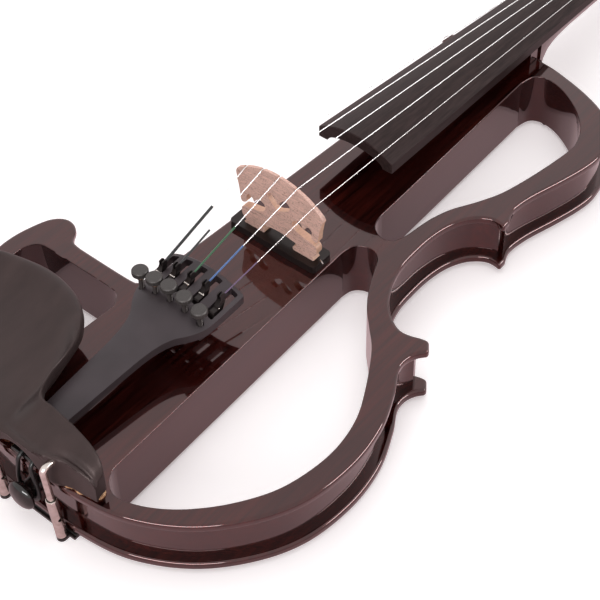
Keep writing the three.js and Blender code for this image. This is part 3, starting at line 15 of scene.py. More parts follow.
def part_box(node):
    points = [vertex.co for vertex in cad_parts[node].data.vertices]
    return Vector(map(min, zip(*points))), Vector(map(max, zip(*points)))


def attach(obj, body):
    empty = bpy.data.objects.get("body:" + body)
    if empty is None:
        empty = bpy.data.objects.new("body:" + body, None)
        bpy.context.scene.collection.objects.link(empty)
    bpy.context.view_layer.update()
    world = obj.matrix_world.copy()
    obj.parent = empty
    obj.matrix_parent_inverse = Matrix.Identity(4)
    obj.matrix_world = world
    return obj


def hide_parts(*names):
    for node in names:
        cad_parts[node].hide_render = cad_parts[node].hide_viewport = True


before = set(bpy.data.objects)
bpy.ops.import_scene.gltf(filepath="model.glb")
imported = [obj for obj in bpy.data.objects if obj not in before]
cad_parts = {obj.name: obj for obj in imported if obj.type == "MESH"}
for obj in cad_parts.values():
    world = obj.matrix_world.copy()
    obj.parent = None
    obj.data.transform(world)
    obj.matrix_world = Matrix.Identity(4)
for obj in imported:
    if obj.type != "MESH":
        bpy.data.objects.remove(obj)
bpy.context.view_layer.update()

bl_info = {
    "name": "Electric Violin Maker",
    "version": (1, 0, 0),
    "blender": (4, 5, 0),
    "location": "View3D > Sidebar > Violin",
    "description": "Models and finishes a five-string electric violin over its frame",
    "category": "Add Mesh",
}

MM = 0.001

# Levels and reaches of the frame, in millimetres
TAIL_REACH = 161.5
HEAD_REACH = 195.5
LOWER_HALF = 104.8
UPPER_HALF = 84.6
WAIST_HALF = 52
RIB_LOW = 4.5
RIB_TOP = 26.5
TOP = 31
OVERHANG = 3.8
CORNER_SETBACK = 4.5
BOARD_END = 55
NUT_Y = 328
FLOOR = -2.6
# Reach of the block's walls from the middle, at the tail and at the head
TREBLE_WALL = (29.7, 21.1)
BASS_WALL = (38.9, 19.9)
# Hairline between the ribs and the block, so that no two faces lie in one place
JOINT = 0.05
SIDES = ((-1, "bass"), (1, "treble"))


# Setting out


def mix(start, end, share):
    return start + (end - start) * share


def sagitta(radius, half):
    return radius - math.sqrt(max(radius * radius - half * half, 0))


def run_lengths(points):
    """How far along a run each of its points lies."""
    lengths = [0.0]
    for a, b in zip(points, points[1:]):
        lengths.append(lengths[-1] + (b - a).length)
    return lengths


def spaced(points, steps):
    """Points in even steps along a run, both of its ends among them."""
    lengths = run_lengths(points)
    even, place = [], 0
    for k in range(steps + 1):
        goal = lengths[-1] * k / steps
        while place + 2 < len(lengths) and lengths[place + 1] < goal:
            place += 1
        share = (goal - lengths[place]) / max(lengths[place + 1] - lengths[place], 1e-9)
        even.append(points[place].lerp(points[place + 1], min(share, 1)))
    return even


def flowing(points, spacing, closed=False):
    """An even run of points on the smooth line through the given ones."""
    points = [Vector(point) for point in points]
    count = len(points)
    fine = []
    spans = count if closed else count - 1
    for i in range(spans):
        if closed:
            a, b, c, d = (points[(i + k) % count] for k in (-1, 0, 1, 2))
        else:
            a, b = points[max(i - 1, 0)], points[i]
            c, d = points[i + 1], points[min(i + 2, count - 1)]
        from_b, from_c = (c - a) / 2, (d - b) / 2
        for step in range(16):
            t = step / 16
            cube = (2 * b - 2 * c + from_b + from_c) * t**3
            square = (3 * c - 3 * b - 2 * from_b - from_c) * t**2
            fine.append(cube + square + from_b * t + b)
    fine.append(points[0] if closed else points[-1])
    even = spaced(fine, max(2, round(run_lengths(fine)[-1] / spacing)))
    return even[:-1] if closed else even


def table_at(rows, place):
    """A row of a table, smoothly interpolated at a place of its first column."""
    last = len(rows) - 2
    index = 0
    while index < last and rows[index + 1][0] < place:
        index += 1
    before, here = rows[max(index - 1, 0)], rows[index]
    after, beyond = rows[index + 1], rows[min(index + 2, len(rows) - 1)]
    width = after[0] - here[0]
    t = min(max((place - here[0]) / width, 0), 1)
    row = []
    for k in range(1, len(here)):
        slope_here = (after[k] - before[k]) / max(after[0] - before[0], 1e-9) * width
        slope_after = (beyond[k] - here[k]) / max(beyond[0] - here[0], 1e-9) * width
        cube = (2 * here[k] - 2 * after[k] + slope_here + slope_after) * t**3
        square = (3 * after[k] - 3 * here[k] - 2 * slope_here - slope_after) * t**2
        row.append(cube + square + slope_here * t + here[k])
    return row


# Handling a piece


def only(piece):
    """Makes a piece the only one that an operator acts on."""
    if bpy.context.object and bpy.context.object.mode != "OBJECT":
        bpy.ops.object.mode_set(mode="OBJECT")
    bpy.ops.object.select_all(action="DESELECT")
    piece.select_set(True)
    bpy.context.view_layer.objects.active = piece
    return piece


def named(name):
    piece = bpy.context.object
    piece.name = name
    piece.data.name = name
    return piece


def choose(piece, kind, rule):
    """Enters edit mode with the edges or faces that follow the rule selected."""
    only(piece)
    bpy.ops.object.mode_set(mode="EDIT")
    bpy.ops.mesh.select_mode(type=kind)
    bpy.ops.mesh.select_all(action="DESELECT")
    mesh = bmesh.from_edit_mesh(piece.data)
    for part in {"VERT": mesh.verts, "EDGE": mesh.edges, "FACE": mesh.faces}[kind]:
        if rule(part):
            part.select_set(True)
    mesh.select_flush_mode()
    bmesh.update_edit_mesh(piece.data)


def rest():
    bpy.ops.object.mode_set(mode="OBJECT")


def closed_up(piece, distance=0.00001):
    """Merges doubles and turns every face outwards."""
    choose(piece, "VERT", lambda part: True)
    bpy.ops.mesh.remove_doubles(threshold=distance)
    bpy.ops.mesh.select_all(action="SELECT")
    bpy.ops.mesh.normals_make_consistent(inside=False)
    rest()
    return piece


def modify(piece, kind, **settings):
    """Adds a modifier, sets it and applies it."""
    only(piece)
    modifier = piece.modifiers.new(kind.title(), kind)
    for key, value in settings.items():
        setattr(modifier, key, value)
    bpy.ops.object.modifier_apply(modifier=modifier.name)
    return piece


def shaded(piece, angle=35, level=False):
    """Smooth shading, kept crisp at hard edges and true on flat faces, level ones above all."""
    only(piece)
    bpy.ops.object.shade_smooth_by_angle(angle=math.radians(angle))
    if level:
        choose(piece, "EDGE", level_border)
        bpy.ops.mesh.mark_sharp()
        rest()
    modify(piece, "WEIGHTED_NORMAL", keep_sharp=True, weight=60)
    return piece


def level_border(edge):
    """Whether just one face beside an edge is level."""
    level = [abs(face.normal.z) > 0.9999 for face in edge.link_faces]
    return any(level) and not all(level)


def eased(piece, width, segments=2, angle=30, smooth=35):
    """Rounds the hard edges of a piece a little, as a worker's cloth and scraper do."""
    modify(
        piece,
        "BEVEL",
        width=width * MM,
        segments=segments,
        limit_method="ANGLE",
        angle_limit=math.radians(angle),
        harden_normals=False,
        use_clamp_overlap=True,
    )
    return shaded(piece, smooth)


def carved(piece, cutter, operation="DIFFERENCE"):
    """Cuts one piece with another, which is used up."""
    modify(piece, "BOOLEAN", operation=operation, object=cutter, solver="EXACT")
    bpy.data.objects.remove(cutter)
    return piece


def merged_copy(node, name):
    """A copy of a frame node with its loose triangles joined into clean faces."""
    piece = bpy.data.objects.new(name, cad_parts[node].data.copy())
    bpy.context.scene.collection.objects.link(piece)
    piece.data.name = name
    piece.data.materials.clear()
    choose(piece, "VERT", lambda part: True)
    bpy.ops.mesh.remove_doubles(threshold=0.000005)
    bpy.ops.mesh.select_all(action="SELECT")
    bpy.ops.mesh.dissolve_limited(angle_limit=math.radians(0.6))
    rest()
    while piece.data.color_attributes:
        piece.data.color_attributes.remove(piece.data.color_attributes[0])
    return piece


def handed_over(piece, finish, nodes=(), body="instrument"):
    """Gives a piece its finish, by name, its body and the frame nodes that it stands for."""
    if not piece.data.materials:
        piece.data.materials.append(finish_named(finish))
    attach(piece, body)
    if nodes:
        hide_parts(*nodes)
    return piece


def placed(piece, matrix):
    """Moves a mesh to its place, so that the object stays at the origin."""
    piece.data.transform(matrix)
    piece.data.update()
    return piece


# Making shapes


def from_curve(name, curve):
    """The mesh that the filling or the thickness of a curve gives."""
    piece = bpy.data.objects.new(name, curve)
    bpy.context.scene.collection.objects.link(piece)
    only(piece)
    bpy.ops.object.convert(target="MESH")
    return named(name)


def flat_shape(name, outline, holes=()):
    """A flat face inside an outline with holes, in millimetres."""
    curve = bpy.data.curves.new(name, "CURVE")
    curve.dimensions = "2D"
    curve.fill_mode = "BOTH"
    for loop in (outline, *holes):
        spline = curve.splines.new("POLY")
        spline.points.add(len(loop) - 1)
        for point, spot in zip(spline.points, loop):
            point.co = (spot[0] * MM, spot[1] * MM, 0, 1)
        spline.use_cyclic_u = True
    piece = from_curve(name, curve)
    choose(piece, "VERT", lambda part: True)
    bpy.ops.mesh.remove_doubles(threshold=0.000005)
    bpy.ops.mesh.dissolve_limited(angle_limit=math.radians(0.01))
    rest()
    return piece


def thickened(piece, low, high):
    """Draws a flat face up into a slab between two levels, in millimetres."""
    placed(piece, Matrix.Translation((0, 0, low * MM)))
    choose(piece, "FACE", lambda part: True)
    bpy.ops.mesh.extrude_region_move(
        TRANSFORM_OT_translate={"value": (0, 0, (high - low) * MM)}
    )
    bpy.ops.mesh.select_all(action="SELECT")
    bpy.ops.mesh.normals_make_consistent(inside=False)
    rest()
    return piece


def outward(piece):
    """Turns a piece the right way out where its faces look inwards."""
    mesh = bmesh.new()
    mesh.from_mesh(piece.data)
    inside_out = mesh.calc_volume(signed=True) < 0
    mesh.free()
    if inside_out:
        choose(piece, "FACE", lambda part: True)
        bpy.ops.mesh.flip_normals()
        rest()
    return piece


def slab(name, outline, low, high, holes=()):
    return outward(thickened(flat_shape(name, outline, holes), low, high))


def skin(name, rings, closed=True):
    """A smooth skin over rings of points, in millimetres: a grid wrapped round and closed."""
    across = len(rings[0])
    bpy.ops.object.select_all(action="DESELECT")
    bpy.ops.mesh.primitive_grid_add(
        x_subdivisions=len(rings) - 1, y_subdivisions=across, size=1, location=(0, 0, 0)
    )
    piece = named(name)
    xs = sorted({round(vertex.co.x, 5) for vertex in piece.data.vertices})
    ys = sorted({round(vertex.co.y, 5) for vertex in piece.data.vertices})
    row_of = {x: k for k, x in enumerate(xs)}
    column_of = {y: k for k, y in enumerate(ys)}
    for vertex in piece.data.vertices:
        row = row_of[round(vertex.co.x, 5)]
        column = column_of[round(vertex.co.y, 5)]
        vertex.co = Vector(rings[row][column % across]) * MM
    choose(piece, "VERT", lambda part: True)
    bpy.ops.mesh.remove_doubles(threshold=0.000002)
    if closed:
        bpy.ops.mesh.select_mode(type="EDGE")
        bpy.ops.mesh.select_all(action="DESELECT")
        bpy.ops.mesh.select_non_manifold(
            extend=False, use_wire=False, use_multi_face=False, use_non_contiguous=False,
            use_verts=False,
        )
        bpy.ops.mesh.fill_holes(sides=0)
    bpy.ops.mesh.select_all(action="SELECT")
    bpy.ops.mesh.normals_make_consistent(inside=False)
    rest()
    return piece


def spokes(along, sides):
    """An axis of length one, and the directions that stand out from it all round."""
    along = Vector(along).normalized()
    across = along.orthogonal().normalized()
    if abs(along.x) < 0.9:
        across = (Vector((1, 0, 0)) - along * along.x).normalized()
    up = along.cross(across)
    angles = [math.tau * k / sides for k in range(sides)]
    return along, [across * math.cos(angle) + up * math.sin(angle) for angle in angles]


def turned(name, profile, start, along, sides=40):
    """A turned piece: [radius, distance along] from a start point, in millimetres."""
    along, outs = spokes(along, sides)
    rings = []
    for radius, distance in profile:
        middle = Vector(start) + along * distance
        rings.append([middle + out * radius for out in outs])
    return skin(name, rings)


def turned_tube(name, profile, start, along, sides=36):
    """A turned piece whose profile closes on itself, so that it is hollow."""
    along, outs = spokes(along, sides)
    rings = [[Vector(start) + along * z + out * radius for radius, z in profile] for out in outs]
    rings.append(rings[0])
    return skin(name, rings, closed=False)


def wire(name, points, radius, sides=3):
    """A round wire along points, in millimetres, with closed ends."""
    curve = bpy.data.curves.new(name, "CURVE")
    curve.dimensions = "3D"
    curve.bevel_depth = radius * MM
    curve.bevel_resolution = sides
    curve.use_fill_caps = True
    spline = curve.splines.new("POLY")
    spline.points.add(len(points) - 1)
    for point, spot in zip(spline.points, points):
        point.co = (spot[0] * MM, spot[1] * MM, spot[2] * MM, 1)
    piece = closed_up(from_curve(name, curve), 0.000002)
    only(piece)
    bpy.ops.object.shade_smooth_by_angle(angle=math.radians(50))
    return piece


def boxed(name, low, high):
    """A plain block between two corners, in millimetres, to be shaped further."""
    size = [(b - a) * MM for a, b in zip(low, high)]
    middle = [(a + b) / 2 * MM for a, b in zip(low, high)]
    bpy.ops.object.select_all(action="DESELECT")
    bpy.ops.mesh.primitive_cube_add(size=1, location=(0, 0, 0))
    piece = named(name)
    placed(piece, Matrix.Translation(middle) @ Matrix.Diagonal((*size, 1)))
    return piece


SIDEWAYS = Matrix(((0, 0, 1, 0), (1, 0, 0, 0), (0, 1, 0, 0), (0, 0, 0, 1)))
UPRIGHT = Matrix(((1, 0, 0, 0), (0, 0, -1, 0), (0, 1, 0, 0), (0, 0, 0, 1)))


# Finishes


class Finish:
    """A procedural finish on the standard shader, with helpers for its nodes."""

    def __init__(self, name, colour, roughness, **sockets):
        self.material = bpy.data.materials.new(name)
        self.material.use_nodes = True
        self.nodes = self.material.node_tree.nodes
        self.links = self.material.node_tree.links
        self.shader = self.nodes["Principled BSDF"]
        self.put("Base Color", (*colour, 1))
        self.put("Roughness", roughness)
        for key, value in sockets.items():
            self.put(key.replace("_", " ").title().replace("Ior", "IOR"), value)

    def put(self, socket, value):
        self.shader.inputs[socket].default_value = value

    def node(self, kind, **settings):
        node = self.nodes.new("ShaderNode" + kind)
        for key, value in settings.items():
            setattr(node, key, value)
        return node

    def place(self, scale=(1, 1, 1)):
        """Where a pattern reads its place from, stretched."""
        where = self.node("TexCoord")
        mapping = self.node("Mapping")
        mapping.inputs["Scale"].default_value = scale
        self.links.new(where.outputs["Object"], mapping.inputs["Vector"])
        return mapping.outputs["Vector"]

    def noise(self, place, scale, detail=3, roughness=0.55, distortion=0):
        node = self.node("TexNoise")
        node.inputs["Scale"].default_value = scale
        node.inputs["Detail"].default_value = detail
        node.inputs["Roughness"].default_value = roughness
        node.inputs["Distortion"].default_value = distortion
        self.links.new(place, node.inputs["Vector"])
        return node.outputs["Fac"]

    def cells(self, place, scale):
        node = self.node("TexVoronoi")
        node.inputs["Scale"].default_value = scale
        self.links.new(place, node.inputs["Vector"])
        return node.outputs["Distance"]

    def ramp(self, value, *stops):
        node = self.node("ValToRGB")
        elements = node.color_ramp.elements
        while len(elements) < len(stops):
            elements.new(0.5)
        for element, (position, colour) in zip(elements, stops):
            element.position = position
            element.color = (*colour, 1)
        self.links.new(value, node.inputs["Fac"])
        return node.outputs["Color"]

    def blend(self, share, first, second, mode="MIX"):
        node = self.node("Mix", data_type="RGBA", blend_type=mode)
        for socket, value in ((0, share), (6, first), (7, second)):
            if isinstance(value, bpy.types.NodeSocket):
                self.links.new(value, node.inputs[socket])
            elif socket == 0:
                node.inputs[0].default_value = value
            else:
                node.inputs[socket].default_value = (*value, 1)
        return node.outputs[2]

    def spread(self, value, low, high):
        """Maps a pattern from 0..1 to a range."""
        node = self.node("MapRange")
        node.inputs["To Min"].default_value = low
        node.inputs["To Max"].default_value = high
        self.links.new(value, node.inputs["Value"])
        return node.outputs["Result"]

    def colour_from(self, value):
        self.links.new(value, self.shader.inputs["Base Color"])

    def roughness_from(self, value):
        self.links.new(value, self.shader.inputs["Roughness"])

    def bump_from(self, value, distance, strength):
        node = self.node("Bump")
        node.inputs["Strength"].default_value = strength
        node.inputs["Distance"].default_value = distance
        self.links.new(value, node.inputs["Height"])
        self.links.new(node.outputs["Normal"], self.shader.inputs["Normal"])


def tones(colour, dark, light):
    """A darker and a lighter tone of a colour, by what it is multiplied with."""
    return tuple(c * dark for c in colour), tuple(min(1, c * light) for c in colour)


def lacquered_mahogany(colours):
    """Dark red-brown wood under a thick, level, high-gloss lacquer."""
    deep, warm = colours.lacquer_deep, colours.lacquer_warm
    finish = Finish(
        "lacquered mahogany", warm, 0.1, coat_weight=1.0, coat_roughness=0.02, coat_ior=1.52
    )
    finish.put("Specular Tint", (1, 0.28, 0.28, 1))
    grain = finish.noise(finish.place((1, 0.035, 1)), 620, 6, 0.62, 0.25)
    figure = finish.noise(finish.place((1, 0.2, 1)), 55, 3, 0.5, 0.8)
    wood = finish.ramp(grain, (0.36, deep), (0.66, warm))
    shade = finish.ramp(figure, (0.35, (0.55, 0.5, 0.5)), (0.7, (1.25, 1.1, 1.0)))
    finish.colour_from(finish.blend(1.0, wood, shade, "MULTIPLY"))
    return finish.material


def dark_hardwood(colours):
    finish = Finish("dark close-grained hardwood", colours.hardwood, 0.42, specular_ior_level=0.2)
    finish.put("Specular Tint", (1, 0.8, 0.8, 1))
    grain = finish.noise(finish.place((1, 0.03, 1)), 900, 5, 0.6)
    dark, light = tones(colours.hardwood, 0.6, 1.5)
    finish.colour_from(finish.ramp(grain, (0.35, dark), (0.68, light)))
    finish.roughness_from(finish.spread(grain, 0.36, 0.5))
    finish.bump_from(grain, 0.00004, 0.5)
    return finish.material


def polished_hardwood(colours):
    finish = Finish("polished dark hardwood", (0.006, 0.005, 0.005), 0.07, coat_weight=0.15)
    grain = finish.noise(finish.place((1, 1, 0.1)), 700, 4)
    finish.colour_from(
        finish.ramp(grain, (0.4, (0.004, 0.0035, 0.0035)), (0.7, (0.02, 0.013, 0.012)))
    )
    return finish.material


def moulded_composite(colours):
    finish = Finish("moulded composite, fine matte", colours.composite, 0.4)
    finish.put("Specular Tint", (1, 0.9, 0.93, 1))
    grit = finish.noise(finish.place(), 5200, 2, 0.6)
    soft = finish.noise(finish.place(), 60, 2, 0.5)
    dark, light = tones(colours.composite, 0.8, 1.25)
    finish.colour_from(finish.ramp(soft, (0.3, dark), (0.7, light)))
    finish.roughness_from(finish.spread(soft, 0.36, 0.47))
    finish.bump_from(grit, 0.00002, 0.35)
    return finish.material


def chin_composite(colours):
    finish = Finish("chinrest composite", colours.chinrest, 0.38, specular_ior_level=0.42)
    finish.put("Specular Tint", (1, 0.8, 0.78, 1))
    grit = finish.noise(finish.place((1, 0.3, 1)), 3800, 2, 0.6)
    soft = finish.noise(finish.place((1, 0.25, 1)), 110, 4, 0.55)
    dark, light = tones(colours.chinrest, 0.75, 1.3)
    finish.colour_from(finish.ramp(soft, (0.3, dark), (0.7, light)))
    finish.roughness_from(finish.spread(soft, 0.38, 0.5))
    finish.bump_from(grit, 0.00002, 0.4)
    return finish.material


def black_plastic(colours):
    finish = Finish("black plastic", (0.012, 0.012, 0.013), 0.3, specular_ior_level=0.4)
    finish.put("Specular Tint", (1, 0.85, 0.83, 1))
    grit = finish.noise(finish.place(), 4200, 2)
    finish.colour_from(
        finish.ramp(grit, (0.3, (0.006, 0.0045, 0.0043)), (0.7, (0.012, 0.0088, 0.0085)))
    )
    finish.roughness_from(finish.spread(grit, 0.24, 0.36))
    finish.bump_from(grit, 0.00001, 0.3)
    return finish.material


def blackened_metal(colours):
    finish = Finish("blackened metal", colours.knob, 0.46, metallic=0.35)
    grit = finish.noise(finish.place(), 2600, 4, 0.7)
    dark, light = tones(colours.knob, 0.7, 1.35)
    finish.colour_from(finish.ramp(grit, (0.3, dark), (0.7, light)))
    finish.bump_from(grit, 0.00002, 0.5)
    return finish.material


def nickel_plate(colours):
    finish = Finish("nickel plate", (0.66, 0.58, 0.54), 0.2, metallic=1.0)
    wear = finish.noise(finish.place(), 420, 4)
    finish.colour_from(
        finish.ramp(wear, (0.3, (0.56, 0.49, 0.45)), (0.7, (0.76, 0.69, 0.65)))
    )
    finish.roughness_from(finish.spread(wear, 0.14, 0.32))
    return finish.material


def copper_thread(colours):
    finish = Finish("copper-coloured screw", (0.7, 0.42, 0.28), 0.25, metallic=1.0)
    wear = finish.noise(finish.place(), 800, 3)
    finish.colour_from(finish.ramp(wear, (0.3, (0.55, 0.32, 0.22)), (0.7, (0.8, 0.55, 0.42))))
    return finish.material


def wound_wire(colours):
    finish = Finish("wound wire", (0.95, 0.93, 0.93), 0.25, metallic=1.0)
    turns = finish.node("TexWave", wave_type="BANDS", bands_direction="Y")
    turns.inputs["Scale"].default_value = 900
    finish.links.new(finish.place(), turns.inputs["Vector"])
    # Painted shade: the grooves between the turns are painted darker than the crests.
    finish.colour_from(
        finish.ramp(turns.outputs["Fac"], (0.1, (0.8, 0.78, 0.78)), (0.5, (0.96, 0.95, 0.95)))
    )
    finish.bump_from(turns.outputs["Fac"], 0.00003, 0.3)
    return finish.material


def plain_wire(colours):
    finish = Finish("plain steel wire", (0.95, 0.92, 0.91), 0.25, metallic=1.0)
    wear = finish.noise(finish.place((1, 0.1, 1)), 900, 2)
    finish.roughness_from(finish.spread(wear, 0.2, 0.3))
    return finish.material


def silk(name, colour):
    finish = Finish("silk, " + name, colour, 0.62, sheen_weight=0.4)
    twist = finish.node("TexWave", wave_type="BANDS", bands_direction="DIAGONAL")
    twist.inputs["Scale"].default_value = 700
    finish.links.new(finish.place(), twist.inputs["Vector"])
    # Painted sheen and shade: the crests of the wraps are painted lighter and the grooves between
    # them darker.
    light = tuple(min(1, c * 1.5 + 0.004) for c in colour)
    dark = tuple(c * 0.6 for c in colour)
    finish.colour_from(finish.ramp(twist.outputs["Fac"], (0.2, dark), (0.7, light)))
    finish.bump_from(twist.outputs["Fac"], 0.00004, 0.4)
    return finish.material


def flecked_maple(colours):
    """Quartered maple, its fine rays seen as short dark dashes on the face."""
    finish = Finish("flecked maple", colours.maple, 0.5, specular_ior_level=0.3)
    grain = finish.noise(finish.place((0.1, 1, 1)), 900, 4, 0.6, 0.4)
    flecks = finish.noise(finish.place((0.3, 1, 1)), 3400, 2, 0.5)
    dark, light = tones(colours.maple, 0.84, 1.08)
    wood = finish.ramp(grain, (0.35, dark), (0.6, light))
    fleck = finish.ramp(flecks, (0.34, (0.52, 0.4, 0.38)), (0.44, (1, 1, 1)))
    finish.colour_from(finish.blend(1.0, wood, fleck, "MULTIPLY"))
    finish.bump_from(grain, 0.00002, 0.4)
    return finish.material


def cut_maple(colours):
    """The same maple where the knife has cut through it, which is warmer."""
    cut = (colours.maple[0] * 1.02, colours.maple[1] * 0.96, colours.maple[2] * 0.82)
    finish = Finish("maple, cut edges", cut, 0.45, specular_ior_level=0.3)
    grain = finish.noise(finish.place((1, 0.2, 1)), 1400, 4, 0.6)
    dark, light = tones(cut, 0.85, 1)
    finish.colour_from(finish.ramp(grain, (0.35, dark), (0.65, light)))
    return finish.material


def cork_sheet(colours):
    finish = Finish("cork sheet", (0.5, 0.25, 0.12), 0.9)
    crumbs = finish.cells(finish.place(), 900)
    finish.colour_from(finish.ramp(
        crumbs, (0.1, (0.2, 0.08, 0.04)), (0.35, (0.5, 0.24, 0.11)), (0.8, (0.72, 0.42, 0.24))
    ))
    finish.bump_from(crumbs, 0.0004, 0.9)
    return finish.material


def black_cord(colours):
    finish = Finish("black cord", (0.008, 0.008, 0.008), 0.35)
    grit = finish.noise(finish.place(), 1500, 2)
    finish.roughness_from(finish.spread(grit, 0.25, 0.45))
    finish.bump_from(grit, 0.00002, 0.3)
    return finish.material


def circuit_laminate(colours):
    finish = Finish("green laminate", (0.02, 0.14, 0.06), 0.4)
    tracks = finish.cells(finish.place(), 260)
    finish.colour_from(finish.ramp(tracks, (0.3, (0.01, 0.08, 0.03)), (0.5, (0.03, 0.2, 0.08))))
    return finish.material


def painted_can(colours):
    finish = Finish("painted battery can", (0.03, 0.035, 0.045), 0.3, metallic=0.3)
    wear = finish.noise(finish.place(), 200, 2)
    finish.colour_from(
        finish.ramp(wear, (0.3, (0.02, 0.024, 0.03)), (0.7, (0.045, 0.05, 0.06)))
    )
    return finish.material


class ViolinColours(bpy.types.PropertyGroup):
    """Colours that a player might ask for."""

    lacquer_deep: FloatVectorProperty(
        name="Lacquer, deep", description="Dark bands of the wood under its lacquer",
        subtype="COLOR", default=(0.006, 0.0011, 0.001), min=0, max=1,
    )
    lacquer_warm: FloatVectorProperty(
        name="Lacquer, warm", description="Light bands of the wood under its lacquer",
        subtype="COLOR", default=(0.042, 0.0065, 0.005), min=0, max=1,
    )
    hardwood: FloatVectorProperty(
        name="Fingerboard", description="Colour of the fingerboard",
        subtype="COLOR", default=(0.024, 0.0145, 0.014), min=0, max=1,
    )
    composite: FloatVectorProperty(
        name="Tailpiece", description="Colour of the tailpiece",
        subtype="COLOR", default=(0.03, 0.0225, 0.025), min=0, max=1,
    )
    chinrest: FloatVectorProperty(
        name="Chinrest", description="Colour of the chinrest",
        subtype="COLOR", default=(0.026, 0.0165, 0.016), min=0, max=1,
    )
    knob: FloatVectorProperty(
        name="Tuner knobs", description="Colour of the fine-tuner knobs",
        subtype="COLOR", default=(0.06, 0.052, 0.05), min=0, max=1,
    )
    maple: FloatVectorProperty(
        name="Bridge", description="Colour of the bridge",
        subtype="COLOR", default=(0.76, 0.485, 0.41), min=0, max=1,
    )


class ViolinSizes(bpy.types.PropertyGroup):
    """Sizes of the finish that a maker might change."""

    plate_edge: FloatProperty(
        name="Plate edge", description="Rounding of the plates' edges",
        unit="LENGTH", default=0.0015, min=0.0002, max=0.002,
    )
    outline_step: FloatProperty(
        name="Outline step", description="Spacing of the points along the body's outline",
        unit="LENGTH", default=0.0016, min=0.0008, max=0.006,
    )
    knurls: IntProperty(
        name="Knurls", description="Grooves round each fine-tuner knob", default=44, min=12, max=80,
    )
    key_power: FloatProperty(
        name="Key light", description="Power of the large lamp over the body",
        unit="POWER", default=9, min=0,
    )


made = {}


def finish_named(name):
    """The finish of that name, made once from the chosen colours."""
    if name not in made:
        makers = {
            "lacquer": lacquered_mahogany,
            "hardwood": dark_hardwood,
            "polished": polished_hardwood,
            "composite": moulded_composite,
            "chinrest": chin_composite,
            "plastic": black_plastic,
            "knob": blackened_metal,
            "nickel": nickel_plate,
            "copper": copper_thread,
            "wound": wound_wire,
            "plain": plain_wire,
            "maple": flecked_maple,
            "cut maple": cut_maple,
            "cork": cork_sheet,
            "cord": black_cord,
            "circuit": circuit_laminate,
            "can": painted_can,
        }
        silks = {
            "silk black": (0.006, 0.006, 0.007),
            "silk dark": (0.01, 0.009, 0.01),
            "silk green": (0.012, 0.09, 0.03),
            "silk blue": (0.055, 0.13, 0.33),
            "silk purple": (0.12, 0.065, 0.15),
        }
        if name in silks:
            made[name] = silk(name[5:], silks[name])
        else:
            made[name] = makers[name](bpy.context.scene.violin_colours)
    return made[name]


def dressed(node, suffix, finish, width, segments=2, angle=40, smooth=35, body="instrument"):
    """A frame node's own shape in its finish, with its edges rounded."""
    piece = eased(merged_copy(node, node + suffix), width, segments, angle, smooth)
    return handed_over(piece, finish, [node], body)


# The body. Outline tables are [share across, share along]: along, a share below zero is of the
# tail reach and one above zero of the head reach.

LOWER_BOUT = [
    (0, -1), (0.21, -0.997), (0.458, -0.969), (0.687, -0.89), (0.859, -0.774), (0.964, -0.644),
    (1, -0.489), (0.978, -0.353), (0.911, -0.238), (0.852, -0.167), (0.842, -0.124),
    (0.859, -0.09), (0.892, -0.065),
]
WAIST_LOW = [
    (0.71, -0.031), (0.634, -0.036), (0.54, -0.046), (0.445, -0.048), (0.341, -0.033),
    (0.256, -0.011), (0.161, 0.021), (0.07, 0.069), (0.015, 0.123), (0, 0.184),
]
WAIST_HIGH = [
    (0.009, 0.246), (0.071, 0.304), (0.193, 0.349), (0.337, 0.375), (0.475, 0.388),
    (0.598, 0.389), (0.712, 0.385),
]
UPPER_BOUT = [
    (0.889, 0.409), (0.862, 0.44), (0.858, 0.471), (0.881, 0.527), (0.94, 0.614), (0.987, 0.696),
    (1, 0.757), (0.969, 0.829), (0.887, 0.885), (0.757, 0.923), (0.615, 0.951), (0.449, 0.974),
    (0.284, 0.99), (0, 1),
]
STUB = [
    (0, 1), (-0.118, 0.992), (-0.236, 0.973), (-0.319, 0.951), (-0.382, 0.936), (-0.405, 0.916),
    (-0.388, 0.895), (-0.343, 0.884), (-0.296, 0.879),
]
STUB_FOOT = 0.845
ARM_FILLET = [(-0.319, -0.338), (-0.339, -0.364), (-0.386, -0.375), (-0.687, -0.375)]
ARM_START = -0.31
HOOK = [
    (-0.687, -0.375), (-0.738, -0.37), (-0.766, -0.354), (-0.79, -0.331), (-0.825, -0.316),
    (-0.868, -0.313), (-0.908, -0.326), (-0.941, -0.353), (-0.966, -0.4), (-0.984, -0.455),
    (-0.986, -0.52), (-0.964, -0.644), (-0.859, -0.774), (-0.687, -0.89), (-0.458, -0.969),
    (-0.21, -0.997), (0, -1),
]
# Openings: across, from the wall of the block to the bout
LOWER_OPENING = (0.07, -0.861, LOWER_HALF, 1, [
    (0.016, 0.099), (0.06, 0.116), (0.116, 0.122), (0.167, 0.117), (0.204, 0.102), (0.234, 0.074),
    (0.27, 0.041), (0.325, -0.003), (0.393, -0.05), (0.481, -0.096), (0.594, -0.158),
    (0.733, -0.273), (0.822, -0.369), (0.858, -0.471), (0.841, -0.57), (0.778, -0.672),
    (0.647, -0.771), (0.494, -0.848), (0.347, -0.898), (0.2, -0.928), (0.107, -0.931),
    (0.036, -0.909), (0.011, -0.89), (0.002, -0.875),
])
UPPER_OPENING = (0.235, 0.875, UPPER_HALF, 1, [
    (0.013, 0.205), (0.06, 0.182), (0.151, 0.169), (0.224, 0.175), (0.266, 0.194), (0.291, 0.22),
    (0.31, 0.261), (0.339, 0.304), (0.4, 0.356), (0.53, 0.427), (0.625, 0.496), (0.712, 0.614),
    (0.765, 0.726), (0.755, 0.767), (0.695, 0.816), (0.553, 0.87), (0.372, 0.911), (0.231, 0.93),
    (0.112, 0.933), (0.033, 0.916),
])
